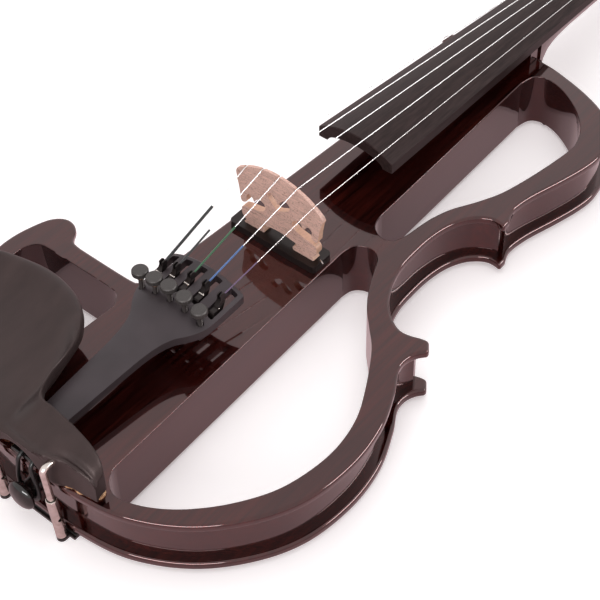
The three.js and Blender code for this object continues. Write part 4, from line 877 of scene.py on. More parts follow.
BASS_OPENING = (-0.477, -0.83, LOWER_HALF, -1, [
    (0.045, -0.45), (0.099, -0.435), (0.396, -0.433), (0.706, -0.433), (0.769, -0.438),
    (0.813, -0.454), (0.837, -0.48), (0.843, -0.526), (0.822, -0.588), (0.753, -0.672),
    (0.605, -0.771), (0.43, -0.848), (0.278, -0.892), (0.156, -0.909), (0.067, -0.898),
    (0.018, -0.87),
])


def along_body(share):
    return share * (TAIL_REACH if share < 0 else HEAD_REACH)


def treble_wall(y):
    return mix(*TREBLE_WALL, (y + TAIL_REACH) / (TAIL_REACH + HEAD_REACH))


def bass_wall(y):
    return -mix(*BASS_WALL, (y + TAIL_REACH) / (TAIL_REACH + HEAD_REACH))


def body_run(shares, half, spacing):
    return flowing([(x * half, along_body(y), 0) for x, y in shares], spacing)


def body_parts(spacing):
    """The outline in four runs: lower bout, waist, upper bout, and the whole bass side."""
    waist = [(mix(WAIST_HALF, LOWER_HALF, x), along_body(y), 0) for x, y in WAIST_LOW]
    waist += [(mix(WAIST_HALF, UPPER_HALF, x), along_body(y), 0) for x, y in WAIST_HIGH]
    foot, arm = along_body(STUB_FOOT), along_body(ARM_START)
    stub = [(x * UPPER_HALF, along_body(y), 0) for x, y in STUB] + [(bass_wall(foot), foot, 0)]
    fillet = [(bass_wall(arm), arm, 0)]
    fillet += [(x * LOWER_HALF, along_body(y), 0) for x, y in ARM_FILLET]
    bass = flowing(stub, spacing) + flowing(fillet, spacing)[:-1]
    bass += body_run(HOOK, LOWER_HALF, spacing)
    lower = body_run(LOWER_BOUT, LOWER_HALF, spacing)
    upper = body_run(UPPER_BOUT, UPPER_HALF, spacing)
    return lower, flowing(waist, spacing), upper, bass


def shifted(points, distance):
    moved = []
    for i, point in enumerate(points):
        along = points[min(i + 1, len(points) - 1)] - points[max(i - 1, 0)]
        along.normalize()
        moved.append(Vector((point.x - along.y * distance, point.y + along.x * distance, 0)))
    return moved


def mitred(first, second):
    """Two runs end to end, cut back to where they cross."""
    for i in range(len(first) - 1):
        for j in range(len(second) - 1, 0, -1):
            a, b, c, d = first[i], first[i + 1], second[j - 1], second[j]
            p, q = b - a, d - c
            down = p.x * q.y - p.y * q.x
            if down == 0:
                continue
            s = ((c.x - a.x) * q.y - (c.y - a.y) * q.x) / down
            t = ((c.x - a.x) * p.y - (c.y - a.y) * p.x) / down
            if 0 <= s <= 1 and 0 <= t <= 1:
                return first[: i + 1] + [a + p * s] + second[j:]
    return first + second


def body_outline(inset, spacing):
    lower, waist, upper, bass = body_parts(spacing)
    if inset == 0:
        return lower + waist + upper + bass[1:-1]

    def clear(points, tip):
        return [point for point in points if (point - tip).length > CORNER_SETBACK]

    middle = clear(clear(waist, waist[0]), waist[-1])
    side = mitred(shifted(clear(lower, lower[-1]), inset), shifted(middle, inset))
    side = mitred(side, shifted(clear(upper, upper[0]), inset))
    return side + shifted(bass, inset)[1:-1]


def opening_outlines(spacing):
    outlines = []
    for start, end, half, side, shares in (LOWER_OPENING, UPPER_OPENING, BASS_OPENING):
        points = []
        for x, share in [(0, start), *shares, (0, end)]:
            y = along_body(share)
            wall = side * (treble_wall(y) if side > 0 else bass_wall(y))
            points.append((side * mix(wall, half, x), y, 0))
        outlines.append(flowing(points, spacing))
    return outlines


# Beside the neck the plates' edges stay sharp: half the width and the depth of that place
NECK_PLACE_HALF = 20
NECK_PLACE_DEPTH = 9
INNER_EDGE = 0.5


def plate(name, low, high, spacing, edge, outer_levels, inner_levels):
    """One plate of the body, its edges rounded where a hand or a cloth meets them."""
    openings = opening_outlines(spacing)
    piece = slab(name, body_outline(0, spacing), low, high, openings)
    rims = [spot for opening in openings for spot in opening]
    for opening in openings:
        rims += [(a + b) / 2 for a, b in zip(opening, [*opening[1:], opening[0]])]
    tree = kdtree.KDTree(len(rims))
    for i, spot in enumerate(rims):
        tree.insert((spot.x, spot.y, 0), i)
    tree.balance()

    def on_rim(part, levels):
        heights = [vertex.co.z / MM for vertex in part.verts]
        return any(all(abs(z - level) < 0.01 for z in heights) for level in levels)

    def hard(part):
        if len(part.link_faces) != 2 or not part.is_contiguous:
            return False
        if abs(part.link_faces[0].normal.z) > 0.9 and abs(part.link_faces[1].normal.z) > 0.9:
            return False
        spot = (part.verts[0].co + part.verts[1].co) / 2 / MM
        return abs(spot.x) >= NECK_PLACE_HALF or spot.y <= HEAD_REACH - NECK_PLACE_DEPTH

    def at_opening(part):
        spot = (part.verts[0].co + part.verts[1].co) / 2 / MM
        return tree.find((spot.x, spot.y, 0))[2] < 0.15

    def outer(part):
        if not hard(part) or at_opening(part):
            return False
        rise = abs(part.verts[0].co.z - part.verts[1].co.z) / MM
        if rise > high - low - 0.1:
            return part.calc_face_angle(0) > math.radians(38)
        return on_rim(part, outer_levels)

    def inner(part):
        return hard(part) and at_opening(part) and on_rim(part, inner_levels)

    for rule, width in ((outer, edge), (inner, INNER_EDGE * MM)):
        choose(piece, "EDGE", rule)
        bpy.ops.mesh.bevel(
            offset=width, offset_type="OFFSET", segments=6, profile=0.5, affect="EDGES",
            clamp_overlap=False, loop_slide=False,
        )
        rest()
    for level in (low, high):
        choose(piece, "FACE", lambda face: all(
            abs(vertex.co.z / MM - level) < 0.01 for vertex in face.verts
        ))
        bpy.ops.mesh.delete(type="FACE")
        rest()
        choose(piece, "EDGE", lambda border: len(border.link_faces) == 1)
        bpy.ops.mesh.fill(use_beauty=True)
        rest()
    return closed_up(piece)


class VIOLIN_OT_plates(bpy.types.Operator):
    """Top and back plates, cut out along their bouts and rounded at the edge"""

    bl_idname = "violin.plates"
    bl_label = "Top and back plates"

    def execute(self, context):
        sizes = context.scene.violin_sizes
        spacing = sizes.outline_step / MM
        half, low, high = 16.6, 187, 197
        corners = ((-half, low, 0), (half, low, 0), (half, high, 0), (-half, high, 0))
        mortise = [Vector(corner) for corner in corners]
        top = plate("top_plate_lacquered", RIB_TOP, TOP, spacing, sizes.plate_edge,
                    (RIB_TOP, TOP), (TOP,))
        top = carved(top, slab("mortise", mortise, RIB_TOP - 2, TOP + 2))
        lead = turned("lead_hole", [(1.5, 0), (1.5, 12)], (-8, -1.5, 36), (0, 4.4, -12), 20)
        top = carved(top, lead)
        top = shaded(top, 40, level=True)
        handed_over(top, "lacquer", ["top_plate"])
        back = plate("back_plate_lacquered", 0, RIB_LOW, spacing, sizes.plate_edge,
                     (0, RIB_LOW), (0,))
        recess = rounded_outline(11.5, 48.1, 9.7, 98.3, 4.3)
        back = carved(back, placed(slab("recess", recess, -3, 2.3), wall_frame()))
        window = rounded_outline(16.5, 43.1, 14.7, 93.3, 2)
        back = carved(back, placed(slab("window", window, -3, 9), wall_frame()))
        back = shaded(back, 40, level=True)
        handed_over(back, "lacquer", ["back_plate"])
        return {"FINISHED"}


def wall_frame():
    """Place and turn of the bass wall: its +Y runs along the wall, its +X into the block."""
    angle = math.atan2(BASS_WALL[0] - BASS_WALL[1], TAIL_REACH + HEAD_REACH)
    move = Matrix.Translation((bass_wall(0) * MM, 0, 0))
    return move @ Matrix.Rotation(-angle, 4, "Z")


def rounded_outline(x0, x1, y0, y1, corner, steps=8):
    points = []
    for cx, cy, start in (
        (x1 - corner, y0 + corner, -90), (x1 - corner, y1 - corner, 0),
        (x0 + corner, y1 - corner, 90), (x0 + corner, y0 + corner, 180),
    ):
        for k in range(steps + 1):
            angle = math.radians(start + 90 * k / steps)
            points.append(
                Vector((cx + corner * math.cos(angle), cy + corner * math.sin(angle), 0))
            )
    return points


class VIOLIN_OT_ribs(bpy.types.Operator):
    """Ribs of both sides and the centre block between them"""

    bl_idname = "violin.ribs"
    bl_label = "Ribs and centre block"

    def execute(self, context):
        spacing = context.scene.violin_sizes.outline_step / MM
        split = along_body(ARM_START)
        tail, head = -TAIL_REACH - 3, HEAD_REACH + 3
        sides = {
            "treble_ribs": [
                (treble_wall(tail) + JOINT, tail, 0), (110, tail, 0), (110, head, 0),
                (treble_wall(head) + JOINT, head, 0),
            ],
            "bass_ribs": [
                (bass_wall(split) - JOINT, split, 0), (-110, split, 0), (-110, tail, 0),
                (bass_wall(tail) - JOINT, tail, 0),
            ],
        }
        openings = opening_outlines(spacing)
        for name, corners in sides.items():
            ring = slab(name + "_lacquered", body_outline(OVERHANG, spacing), RIB_LOW, RIB_TOP,
                        openings)
            side = slab("side", [Vector(corner) for corner in corners], 0, TOP)
            ring = carved(ring, side, "INTERSECT")
            handed_over(shaded(ring, 40), "lacquer", [name])
        dressed("center_block", "_lacquered", "lacquer", 0.25, angle=30)
        return {"FINISHED"}


# Neck, board and head

BOARD_RADIUS = 42
# Half width, underside over the top and flank of the board, each at its end and at the nut
BOARD_HALF = (22.4, 13.3)
BOARD_UNDER = (18.2, 0.4)
BOARD_FLANK = (6.2, 4.4)
HOLLOW_END = 183
HOLLOW_DEPTH = 6


def board_share(y):
    return (y - BOARD_END) / (NUT_Y - BOARD_END)


def board_half(y):
    return mix(*BOARD_HALF, board_share(y))


def board_under(y):
    return TOP + mix(*BOARD_UNDER, board_share(y))


def board_flank(y):
    return mix(*BOARD_FLANK, board_share(y))


def board_arch(x):
    """How far the arched face has fallen at a distance from its crown."""
    return sagitta(BOARD_RADIUS, abs(x))


def board_crown(y):
    return board_under(y) + board_flank(y) + board_arch(board_half(y))


class VIOLIN_OT_fingerboard(bpy.types.Operator):
    """Arched fingerboard with its hollow underside, and the nut"""

    bl_idname = "violin.fingerboard"
    bl_label = "Fingerboard and nut"

    def execute(self, context):
        rings = []
        ys = [BOARD_END + 0.05, BOARD_END + 0.5]
        ys += [BOARD_END + 4 + k * 8 for k in range(14)] + [165, 172, 178]
        ys += [HOLLOW_END - 0.1, HOLLOW_END + 0.1, 190]
        ys += [200 + k * 12 for k in range(10)] + [NUT_Y - 0.8, NUT_Y - 0.35]
        for y in ys:
            half, under = board_half(y), board_under(y)
            deep = HOLLOW_DEPTH * board_flank(y) / BOARD_FLANK[0] if y < HOLLOW_END else 0.02
            easing = 0.28 if y < BOARD_END + 0.2 or y > NUT_Y - 0.5 else 0
            half -= easing
            ring = []
            for k in range(25):
                x = mix(-half, half, k / 24)
                z = under + board_flank(y) + board_arch(half) - board_arch(x) - easing
                ring.append((x, y, z))
            hollow = half - 5.2
            ring.append((half, y, under + easing))
            ring.append((hollow, y, under + easing))
            for k in range(1, 16):
                angle = math.pi * k / 16
                ring.append((hollow * math.cos(angle), y, under + deep * math.sin(angle)))
            ring.append((-hollow, y, under + easing))
            ring.append((-half, y, under + easing))
            rings.append(ring)
        board = skin("fingerboard_arched", rings)
        board = eased(board, 0.35, 3, 40, 30)
        handed_over(board, "hardwood", ["fingerboard"])
        dressed("nut", "_eased", "polished", 0.5, 3)
        return {"FINISHED"}


SCROLL_EYE = (411.3, 13)  # along and up
SCROLL_START = 215  # degrees round the eye
SCROLL_RISE = 0.35  # share of a turn in which it rises out of the cheek
SCROLL_STEPS = 96
# Turns of the scroll: [name, radius at its start and end, core, low and high face]
SCROLL_TURNS = (("outer", 15.1, 11.9, 9, 9.4, 14.04), ("inner", 11.8, 7.2, 5, 13.4, 18.54))


def scroll_turn(name, side, start, end, core, low, high):
    """One turn of the scroll: a band that winds inward and rises out of the cheek."""
    rings = []
    for k in range(SCROLL_STEPS + 1):
        share = k / SCROLL_STEPS
        rise = min(share / SCROLL_RISE, 1)
        face = mix(low + 0.6, high, rise * rise * (3 - 2 * rise))
        angle = math.radians(SCROLL_START) + math.tau * share
        ring = []
        edge = mix(start, end, share)
        for reach, across in ((core, low), (edge, low), (edge, face), (core, face)):
            along = SCROLL_EYE[0] + reach * math.cos(angle)
            ring.append((side * across, along, SCROLL_EYE[1] + reach * math.sin(angle)))
        rings.append(ring)
    return skin(name, rings)


class VIOLIN_OT_neck(bpy.types.Operator):
    """Neck with its heel, pegbox and scroll"""

    bl_idname = "violin.neck"
    bl_label = "Neck and scroll"

    def execute(self, context):
        dressed("neck", "_lacquered", "lacquer", 0.5, 3, 42, 45)
        for side, of_side in SIDES:
            for name, *shape in SCROLL_TURNS:
                turn = scroll_turn(f"scroll_{name}_turn_{of_side}", side, *shape)
                handed_over(eased(turn, 0.35, 2), "lacquer")
        return {"FINISHED"}


class VIOLIN_OT_pegs(bpy.types.Operator):
    """Five tuning pegs"""

    bl_idname = "violin.pegs"
    bl_label = "Tuning pegs"

    def execute(self, context):
        for name in STRINGS:
            peg = "peg_" + name
            dressed(peg, "_turned", "polished", 0.4, 3, 28, 50, peg + "_body")
        return {"FINISHED"}


# Bridge and pickup

BRIDGE_HALF = 25.9
BRIDGE_LOW = TOP + 4
BRIDGE_HIGH = 39.6
BRIDGE_RADIUS = 38
# How far its crown leans to the bass side, and its thickness at the feet and at the crown
BRIDGE_LEAN = 1.5
BRIDGE_THICK = (4.6, 1.4)
STRINGS = ("c", "g", "d", "a", "e")
MIDDLE_STRING = 2
BRIDGE_PITCH = 10.1
STRING_RADII = (0.62, 0.5, 0.45, 0.42, 0.3)
NOTCHES = (1.3, 1, 1, 0.7, 0.4)
# Half of the bridge from its foot, in and out of its eye, to its shoulder: [across, up]
BRIDGE_SIDE = [
    (9.4, 0), (20.6, 0), (21.2, 0.5), (20.4, 1.3), (19.8, 2), (20.8, 3), (22.2, 4.6),
    (22.7, 6.8), (22.5, 8.8), (21.4, 9.9), (19.4, 10.6), (16, 11.2), (12.6, 11.9), (9.8, 13),
    (8.3, 14.8), (8.1, 16.8), (9.2, 18.4), (11.2, 19.2), (13.1, 18.5), (14.2, 17.1), (15, 16.1),
    (15.6, 17.3), (16.6, 18.6), (18, 19), (19.4, 18), (19.7, 16.4), (19.3, 14.9), (19.9, 13.5),
    (21, 12.7), (22.2, 12.4), (23, 13.1), (23.4, 15), (23.8, 18.4), (24.5, 22), (25.2, 25),
]
BRIDGE_ARCH = [
    (9.4, 0), (8.7, 0.5), (8.5, 1.5), (9, 2.4), (10.1, 2.9), (10.8, 3.7), (10.4, 4.6), (9, 5.1),
    (6, 5.6), (3, 6), (0, 6.2),
]


def bridge_crown(x):
    return BRIDGE_LOW + BRIDGE_HIGH - sagitta(BRIDGE_RADIUS, x + BRIDGE_LEAN)


def string_at_bridge(k):
    x = (k - MIDDLE_STRING) * BRIDGE_PITCH
    return Vector((x, 0, bridge_crown(x) + STRING_RADII[k] - NOTCHES[k]))


HEART = [
    (-0.5, 18.8), (2.4, 20.2), (5.4, 21.9), (6.7, 24), (5.8, 26), (3.7, 26.9), (1.7, 26.1),
    (0.5, 24.3), (-0.5, 22.6), (-1.7, 24.5), (-3, 26.5), (-5, 27.2), (-6.6, 26), (-6.4, 23.9),
    (-4.4, 21.6), (-2.2, 19.8),
]


class VIOLIN_OT_bridge(bpy.types.Operator):
    """Carved maple bridge on its black pickup plate"""

    bl_idname = "violin.bridge"
    bl_label = "Bridge and pickup"

    def execute(self, context):
        right = [(x, z, 0) for x, z in BRIDGE_SIDE]
        right = flowing(right[:2], 3) + flowing(right[1:], 0.7)[1:]
        crown = []
        shoulder = bridge_crown(BRIDGE_HALF) - BRIDGE_LOW
        right.append(Vector((BRIDGE_HALF, shoulder - 1.2, 0)))
        for k in range(61):
            x = mix(BRIDGE_HALF - 0.6, -BRIDGE_HALF + 0.6, k / 60)
            crown.append(Vector((x, bridge_crown(x) - BRIDGE_LOW, 0)))
        left = [Vector((-point.x, point.y, 0)) for point in right[:-1]]
        left.append(Vector((-BRIDGE_HALF, bridge_crown(-BRIDGE_HALF) - BRIDGE_LOW - 1.2, 0)))
        arch = flowing([(x, z, 0) for x, z in BRIDGE_ARCH], 0.7)
        arch_left = [Vector((-point.x, point.y, 0)) for point in arch]
        outline = right + crown + left[::-1] + arch_left[1:] + arch[::-1][1:-1]
        eyes = [flowing([(x, z, 0) for x, z in HEART], 0.6, closed=True)]
        bridge = slab("bridge_carved", outline, -1, 1, eyes)
        for vertex in bridge.data.vertices:
            up = vertex.co.y / MM
            thick = mix(*BRIDGE_THICK, min(max(up / BRIDGE_HIGH, 0), 1))
            vertex.co.z *= thick / 2
        placed(bridge, Matrix.Translation((0, 0, BRIDGE_LOW * MM)) @ UPRIGHT)
        for k, radius in enumerate(STRING_RADII):
            seat = string_at_bridge(k)
            start = seat + Vector((0, -4, 0))
            reach = radius + 0.18
            notch = turned("notch", [(reach, 0), (reach, 8)], start, (0, 1, 0), 16)
            bridge = carved(bridge, notch)
            low, high = (seat.x - reach, -4, seat.z), (seat.x + reach, 4, seat.z + 6)
            bridge = carved(bridge, boxed("way", low, high))
        bridge = eased(bridge, 0.13, 2, 40, 40)
        bridge.data.materials.append(finish_named("maple"))
        bridge.data.materials.append(finish_named("cut maple"))
        for face in bridge.data.polygons:
            crown = face.normal.z > 0.3 and face.center.z > (BRIDGE_LOW + 24) * MM
            face.material_index = 0 if abs(face.normal.y) > 0.8 or crown else 1
        handed_over(bridge, "maple", ["bridge"])

        outline = rounded_outline(-27.9, 24.1, -6, 7.6, 2.2)
        base = slab("pickup_plate_moulded", outline, TOP, BRIDGE_LOW)
        base = eased(base, 0.7, 4, 50)
        handed_over(base, "plastic", ["pickup_plate"])
        bent = [(23.2, 0.2, TOP + 4.1), (24.6, -0.6, TOP + 4.5), (25.6, -0.9, TOP + 4.2)]
        tag = wire("pickup_tag", bent, 0.35)
        handed_over(tag, "nickel")
        return {"FINISHED"}


# Tailpiece and fine tuners

TAIL_FRONT = 49.3
TAIL_LENGTH = 104
TAIL_RADIUS = 42
TAIL_HALF = 20.8
TAIL_THICK = 4.2
TAIL_STEPS = 32
# Its edge over the top, at the front and at the back
TAIL_FLANK = (20.6, 14.6)
TAIL_WIDTHS = [
    (0, 0.955), (0.008, 1), (0.13, 1), (0.22, 0.985), (0.26, 0.93), (0.305, 0.8), (0.353, 0.62),
    (0.4, 0.52), (0.459, 0.455), (0.54, 0.415), (0.89, 0.335), (0.98, 0.3), (1, 0.24),
]
TUNER_PITCH = 8.6
PIVOT_Y = -TAIL_FRONT - 16.5
SCREW_Y = -TAIL_FRONT - 24.4
THREAD_PITCH = 0.3
# How far each knob stands above its middle setting, and how high each lever's hook reaches
KNOB_LIFTS = (2.1, 0.5, 0.3, -0.1, -0.2)
HOOK_HIGHS = (8.3, 8.9, 8.1, 9, 9.8)
# A lever's profile in shares: [forward, up] round its hook and [back, down] round its arm
LEVER_FORE = [
    (-0.3, -0.3), (0.3, -0.3), (0.72, 0.2), (1, 0.72), (0.94, 1), (0.62, 0.98), (0.6, 0.74),
    (0.28, 0.36), (-0.3, 0.3),
]
LEVER_BACK = [(0.3, 0.28), (0.62, 0.6), (1.25, 0.6), (1.25, 1), (0.5, 1), (0.16, 0.5)]
LEVER_DEEP = 6


def tail_share(y):
    return (-TAIL_FRONT - y) / TAIL_LENGTH


def tail_half(y):
    share = min(max(tail_share(y), 0.0001), 0.9999)
    for (a, half_a), (b, half_b) in zip(TAIL_WIDTHS, TAIL_WIDTHS[1:]):
        if b >= share:
            return TAIL_HALF * mix(half_a, half_b, (share - a) / (b - a))
    return TAIL_HALF * TAIL_WIDTHS[-1][1]


def tail_flank(y):
    return TOP + mix(*TAIL_FLANK, tail_share(y))


def tail_face(x, y):
    return tail_flank(y) + sagitta(TAIL_RADIUS, tail_half(y)) - sagitta(TAIL_RADIUS, abs(x))


def tuner_x(k):
    return (k - MIDDLE_STRING) * TUNER_PITCH - 0.3


def tuner_pivot(k):
    """Middle of the pin on which a tuner's lever rocks."""
    x = tuner_x(k)
    return x, PIVOT_Y, tail_face(x, PIVOT_Y) - 3.2


class VIOLIN_OT_tailpiece(bpy.types.Operator):
    """Arched tailpiece with five tuner slots"""

    bl_idname = "violin.tailpiece"
    bl_label = "Tailpiece"

    def execute(self, context):
        shares = [0.0005, 0.003, 0.006, 0.01, 0.02, 0.03] + [0.05 + 0.0125 * k for k in range(74)]
        shares += [0.985, 0.993, 0.9995]
        rings = []
        for share in shares:
            y = -TAIL_FRONT - share * TAIL_LENGTH
            half = table_at(TAIL_WIDTHS, share)[0] * TAIL_HALF
            ring = []
            for k in range(TAIL_STEPS + 1):
                x = mix(-half, half, k / TAIL_STEPS)
                z = tail_flank(y) + sagitta(TAIL_RADIUS, half) - sagitta(TAIL_RADIUS, abs(x))
                ring.append((x, y, z))
            under = [(x, y, z - TAIL_THICK) for x, y, z in ring]
            side = [(half, y, ring[-1][2] - TAIL_THICK / 2)]
            other = [(-half, y, ring[0][2] - TAIL_THICK / 2)]
            rings.append(ring + side + under[::-1] + other)
        tail = skin("tailpiece_arched", rings)
        front = -TAIL_FRONT - 2.2
        for k in range(len(STRINGS)):
            x = tuner_x(k)
            outline = rounded_outline(x - 2.2, x + 2.2, front - 17.6, front, 0.7, 4)
            tail = carved(tail, slab("slot", outline, TOP, TOP + 42))
            hole = turned("hole", [(1.6, 0), (1.6, 40)], (x, SCREW_Y, TOP), (0, 0, 1), 20)
            tail = carved(tail, hole)
        tail = eased(tail, 0.55, 3, 38, 38)
        handed_over(tail, "composite", ["tailpiece"])
        return {"FINISHED"}


class VIOLIN_OT_tuner_levers(bpy.types.Operator):
    """Rocking levers of the fine tuners, each on its pin"""

    bl_idname = "violin.tuner_levers"
    bl_label = "Tuner levers"

    def execute(self, context):
        for k, name in enumerate(STRINGS):
            x, pivot_y, pivot_z = tuner_pivot(k)
            body = "tuner_lever_" + name + "_body"
            high = HOOK_HIGHS[k]
            profile = [(f * (7.4 if f > 0 else 2.6), h * high, 0) for f, h in LEVER_FORE]
            profile += [(-b * (PIVOT_Y - SCREW_Y), -low * LEVER_DEEP, 0) for b, low in LEVER_BACK]
            outline = flowing(profile, 0.5, closed=True)
            lever = slab("tuner_lever_" + name + "_curved", outline, -1.4, 1.4)
            for vertex in lever.data.vertices:
                if vertex.co.y > high * 0.55 * MM:
                    vertex.co.z *= 0.8
            placed(lever, Matrix.Translation(Vector((x, pivot_y, pivot_z)) * MM) @ SIDEWAYS)
            near = (x - 0.5, pivot_y + 4.4, pivot_z + high * 0.72)
            far = (x + 0.5, pivot_y + 10, pivot_z + high + 4)
            lever = carved(lever, boxed("fork", near, far))
            lever = eased(lever, 0.3, 3, 40, 40)
            handed_over(lever, "plastic", ["tuner_lever_" + name], body)
            pin = turned(
                "tuner_pin_" + name,
                [(0, -2.6), (0.7, -2.6), (0.9, -2.4), (0.9, 2.4), (0.7, 2.6), (0, 2.6)],
                (x, pivot_y, pivot_z), (1, 0, 0), 20,
            )
            handed_over(shaded(pin), "nickel", (), body)
            rivet = turned(
                "tuner_rivet_" + name,
                [(0, -1.5), (0.3, -1.5), (0.45, -1.35), (0.45, 1.35), (0.3, 1.5), (0, 1.5)],
                (x, pivot_y + 2.7, pivot_z + 3.5), (1, 0, 0), 20,
            )
            handed_over(shaded(rivet), "nickel", (), body)
        return {"FINISHED"}


class VIOLIN_OT_tuner_screws(bpy.types.Operator):
    """Fine-tuner screws with knurled knobs"""

    bl_idname = "violin.tuner_screws"
    bl_label = "Tuner screws"

    def execute(self, context):
        knurls = context.scene.violin_sizes.knurls
        for k, name in enumerate(STRINGS):
            x, _, pivot_z = tuner_pivot(k)
            body = "tuner_screw_" + name + "_body"
            flat = tail_face(x, SCREW_Y) + 9.4 + KNOB_LIFTS[k]
            low = flat - 3
            knob = turned(
                "tuner_screw_" + name + "_knob",
                [(0, low), (2.4, low), (2.7, low + 0.05),
                 (3.5, low + 0.2), (3.72, low + 0.4), (3.82, low + 0.55), (3.82, low + 2.3),
                 (3.75, low + 2.45), (3.6, low + 2.65), (3.4, flat - 0.15), (3.2, flat),
                 (0, flat)],
                (x, SCREW_Y, 0), (0, 0, 1), knurls * 4,
            )
            middle = Vector((x, SCREW_Y)) * MM
            for vertex in knob.data.vertices:
                offset = vertex.co.xy - middle
                if offset.length > 3.75 * MM:
                    angle = math.atan2(offset.y, offset.x)
                    offset *= 1 - 0.045 * (0.5 - 0.5 * math.cos(angle * knurls))
                    vertex.co.xy = middle + offset
            knob = shaded(knob, 32)
            handed_over(knob, "knob", ["tuner_screw_" + name], body)
            tip = pivot_z - 0.6 * LEVER_DEEP + 0.3
            profile = [(0, tip), (0.8, tip), (1.05, tip + THREAD_PITCH)]
            z = tip + THREAD_PITCH
            while z < low - 0.2:
                profile += [(1.24, z + THREAD_PITCH / 2), (1.06, z + THREAD_PITCH)]
                z += THREAD_PITCH
            profile += [(1.06, low + 0.3), (0, low + 0.3)]
            thread = turned("tuner_thread_" + name, profile, (x, SCREW_Y, 0), (0, 0, 1), 20)
            # Painted shade: the thread is given black plastic, dark as the copper-coloured screw
            # looks in the shade under its knob.
            handed_over(shaded(thread, 60), "plastic", (), body)
            collar = turned(
                "tuner_collar_" + name,
                [(0, low - 1.7), (2, low - 1.7), (2.35, low - 1.4), (2.35, low - 0.05),
                 (0, low - 0.05)],
                (x, SCREW_Y, 0), (0, 0, 1), 28,
            )
            # The collar is copper under the first two knobs and black plastic under the others; the
            # black is painted shade, where the same copper collar lies in shadow.
            metal = "copper" if k < 2 else "plastic"
            handed_over(shaded(collar), metal, (), body)
        return {"FINISHED"}


# Strings

SILK_ENDS = (-25.7, -38.2, -31.4, -36.5, -37.9)
SILKS = ("silk black", "silk dark", "silk green", "silk blue", "silk purple")
SILK_RADII = (0.72, 0.5, 0.45, 0.43, 0.3)
WIRE_RADII = (0.36, 0.28, 0.26, 0.24, 0.15)
# Spacing of the strings across, on the nut and on the pegs
NUT_PITCH = 4.85
WRAP_PITCH = 3
# Each string's peg, counted from the nut, and the pegbox behind the nut
PEG_OF = (0, 2, 4, 3, 1)
NUT_LENGTH = 5.5
SEAM = 0.3
PEG_START = 8
PEG_PITCH = 11.5
PEG_DEPTH = 7.6
PEG_RADIUS = 3.4
PEGBOX_LENGTH = 66
PEGBOX_FALL = 15


def peg_place(k):
    """Along and up, the axis of a peg below the rim of the pegbox, which falls away."""
    along = PEG_START + PEG_PITCH * k
    rim = board_under(NUT_Y) - SEAM - PEGBOX_FALL * along / PEGBOX_LENGTH
    return NUT_Y + NUT_LENGTH + SEAM + along, rim - PEG_DEPTH


class VIOLIN_OT_strings(bpy.types.Operator):
    """Five strings, silk-wrapped at the tail and wound or plain over the board"""

    bl_idname = "violin.strings"
    bl_label = "Strings"

    def execute(self, context):
        for k, name in enumerate(STRINGS):
            x, pivot_y, pivot_z = tuner_pivot(k)
            radius = STRING_RADII[k]
            seat = string_at_bridge(k)
            nut_x = (k - MIDDLE_STRING) * NUT_PITCH
            peg_x = (k - MIDDLE_STRING) * WRAP_PITCH
            over_x = mix(nut_x, peg_x, 1 / 8)
            lift = radius + 0.2
            crown = board_crown(NUT_Y) + 0.7
            peg_y, peg_z = peg_place(PEG_OF[k])
            wrap = PEG_RADIUS + lift + 0.2
            start = Vector((x, pivot_y + 7, pivot_z + HOOK_HIGHS[k] * 0.76))
            over = [
                Vector((nut_x, NUT_Y, crown - board_arch(nut_x) + lift)),
                Vector((over_x, NUT_Y + NUT_LENGTH, crown - board_arch(over_x) + lift)),
            ]
            turn = [
                Vector((peg_x, peg_y + wrap * math.sin(a), peg_z + wrap * math.cos(a)))
                for a in [math.radians(d) for d in range(-20, 104, 8)]
            ]
            before, after = seat + Vector((0, -0.85, 0)), seat + Vector((0, 0.85, 0))
            share = (SILK_ENDS[k] - start.y) / (before.y - start.y)
            silk_end = start.lerp(before, share)
            path = [silk_end, before, after, *over, *turn]
            string = wire("string_" + name + "_wire", path, WIRE_RADII[k], 3)
            metal = "plain" if name == "e" else "wound"
            handed_over(string, metal, ["string_" + name])
            taper = silk_end.lerp(before, 0.6 / (before - silk_end).length)
            wrapping = wire(
                "string_" + name + "_silk", [start, silk_end, taper], SILK_RADII[k], 4
            )
            handed_over(wrapping, SILKS[k])
        return {"FINISHED"}


# Tail end and chinrest

BUTTON_Z = 15.8


class VIOLIN_OT_tail_end(bpy.types.Operator):
    """Saddle, end button and the cord that holds the tailpiece"""

    bl_idname = "violin.tail_end"
    bl_label = "Tail end"

    def execute(self, context):
        dressed("saddle", "_eased", "polished", 0.9, 4)
        start = -TAIL_REACH + OVERHANG - 7.8 - 5
        profile = [
            (0, 0), (2, 0.05), (4.2, 0.35), (5.6, 0.9), (6.7, 1.7), (7.15, 2.6), (7.2, 3.1),
            (6.9, 3.7), (6.1, 4.2), (5.2, 4.6), (4.5, 5.1), (4.2, 5.9), (4.15, 8), (4.2, 10.5),
            (4.3, 12.4), (3.4, 12.5), (3.4, 34.8), (0, 34.8),
        ]
        button = turned("end_button_turned", profile, (0, start, BUTTON_Z), (0, 1, 0), 56)
        handed_over(shaded(button, 40), "polished", ["end_button"])

        gap = 1.5
        end = -TAIL_FRONT - TAIL_LENGTH
        loop_y = -TAIL_REACH - gap - 0.3
        loop = 4.2 + gap
        half, over = 3.6, TOP + 2.8 + gap
        under = tail_face(half, end + 0.01) - TAIL_THICK - gap
        inner = tail_face(half, end + 9) - TAIL_THICK - gap
        side = [
            (half, end + 9, inner), (half, end, under),
            (half, -TAIL_REACH + 6 - gap, over), (half, -TAIL_REACH + 2, over),
            (3.7, loop_y + 0.6, TOP + 2.3), (4.3, loop_y, TOP - 2.5), (5.6, loop_y, 21.5),
        ]
        low = [
            (loop * math.cos(a), loop_y, BUTTON_Z - loop * math.sin(a))
            for a in [math.pi * k / 8 for k in range(9)]
        ]
        other = [(-x, y, z) for x, y, z in reversed(side)]
        cord = wire("tailgut_looped", flowing(side + low + other, 0.8), 1, 4)
        handed_over(cord, "cord", ["tailgut"])
        return {"FINISHED"}


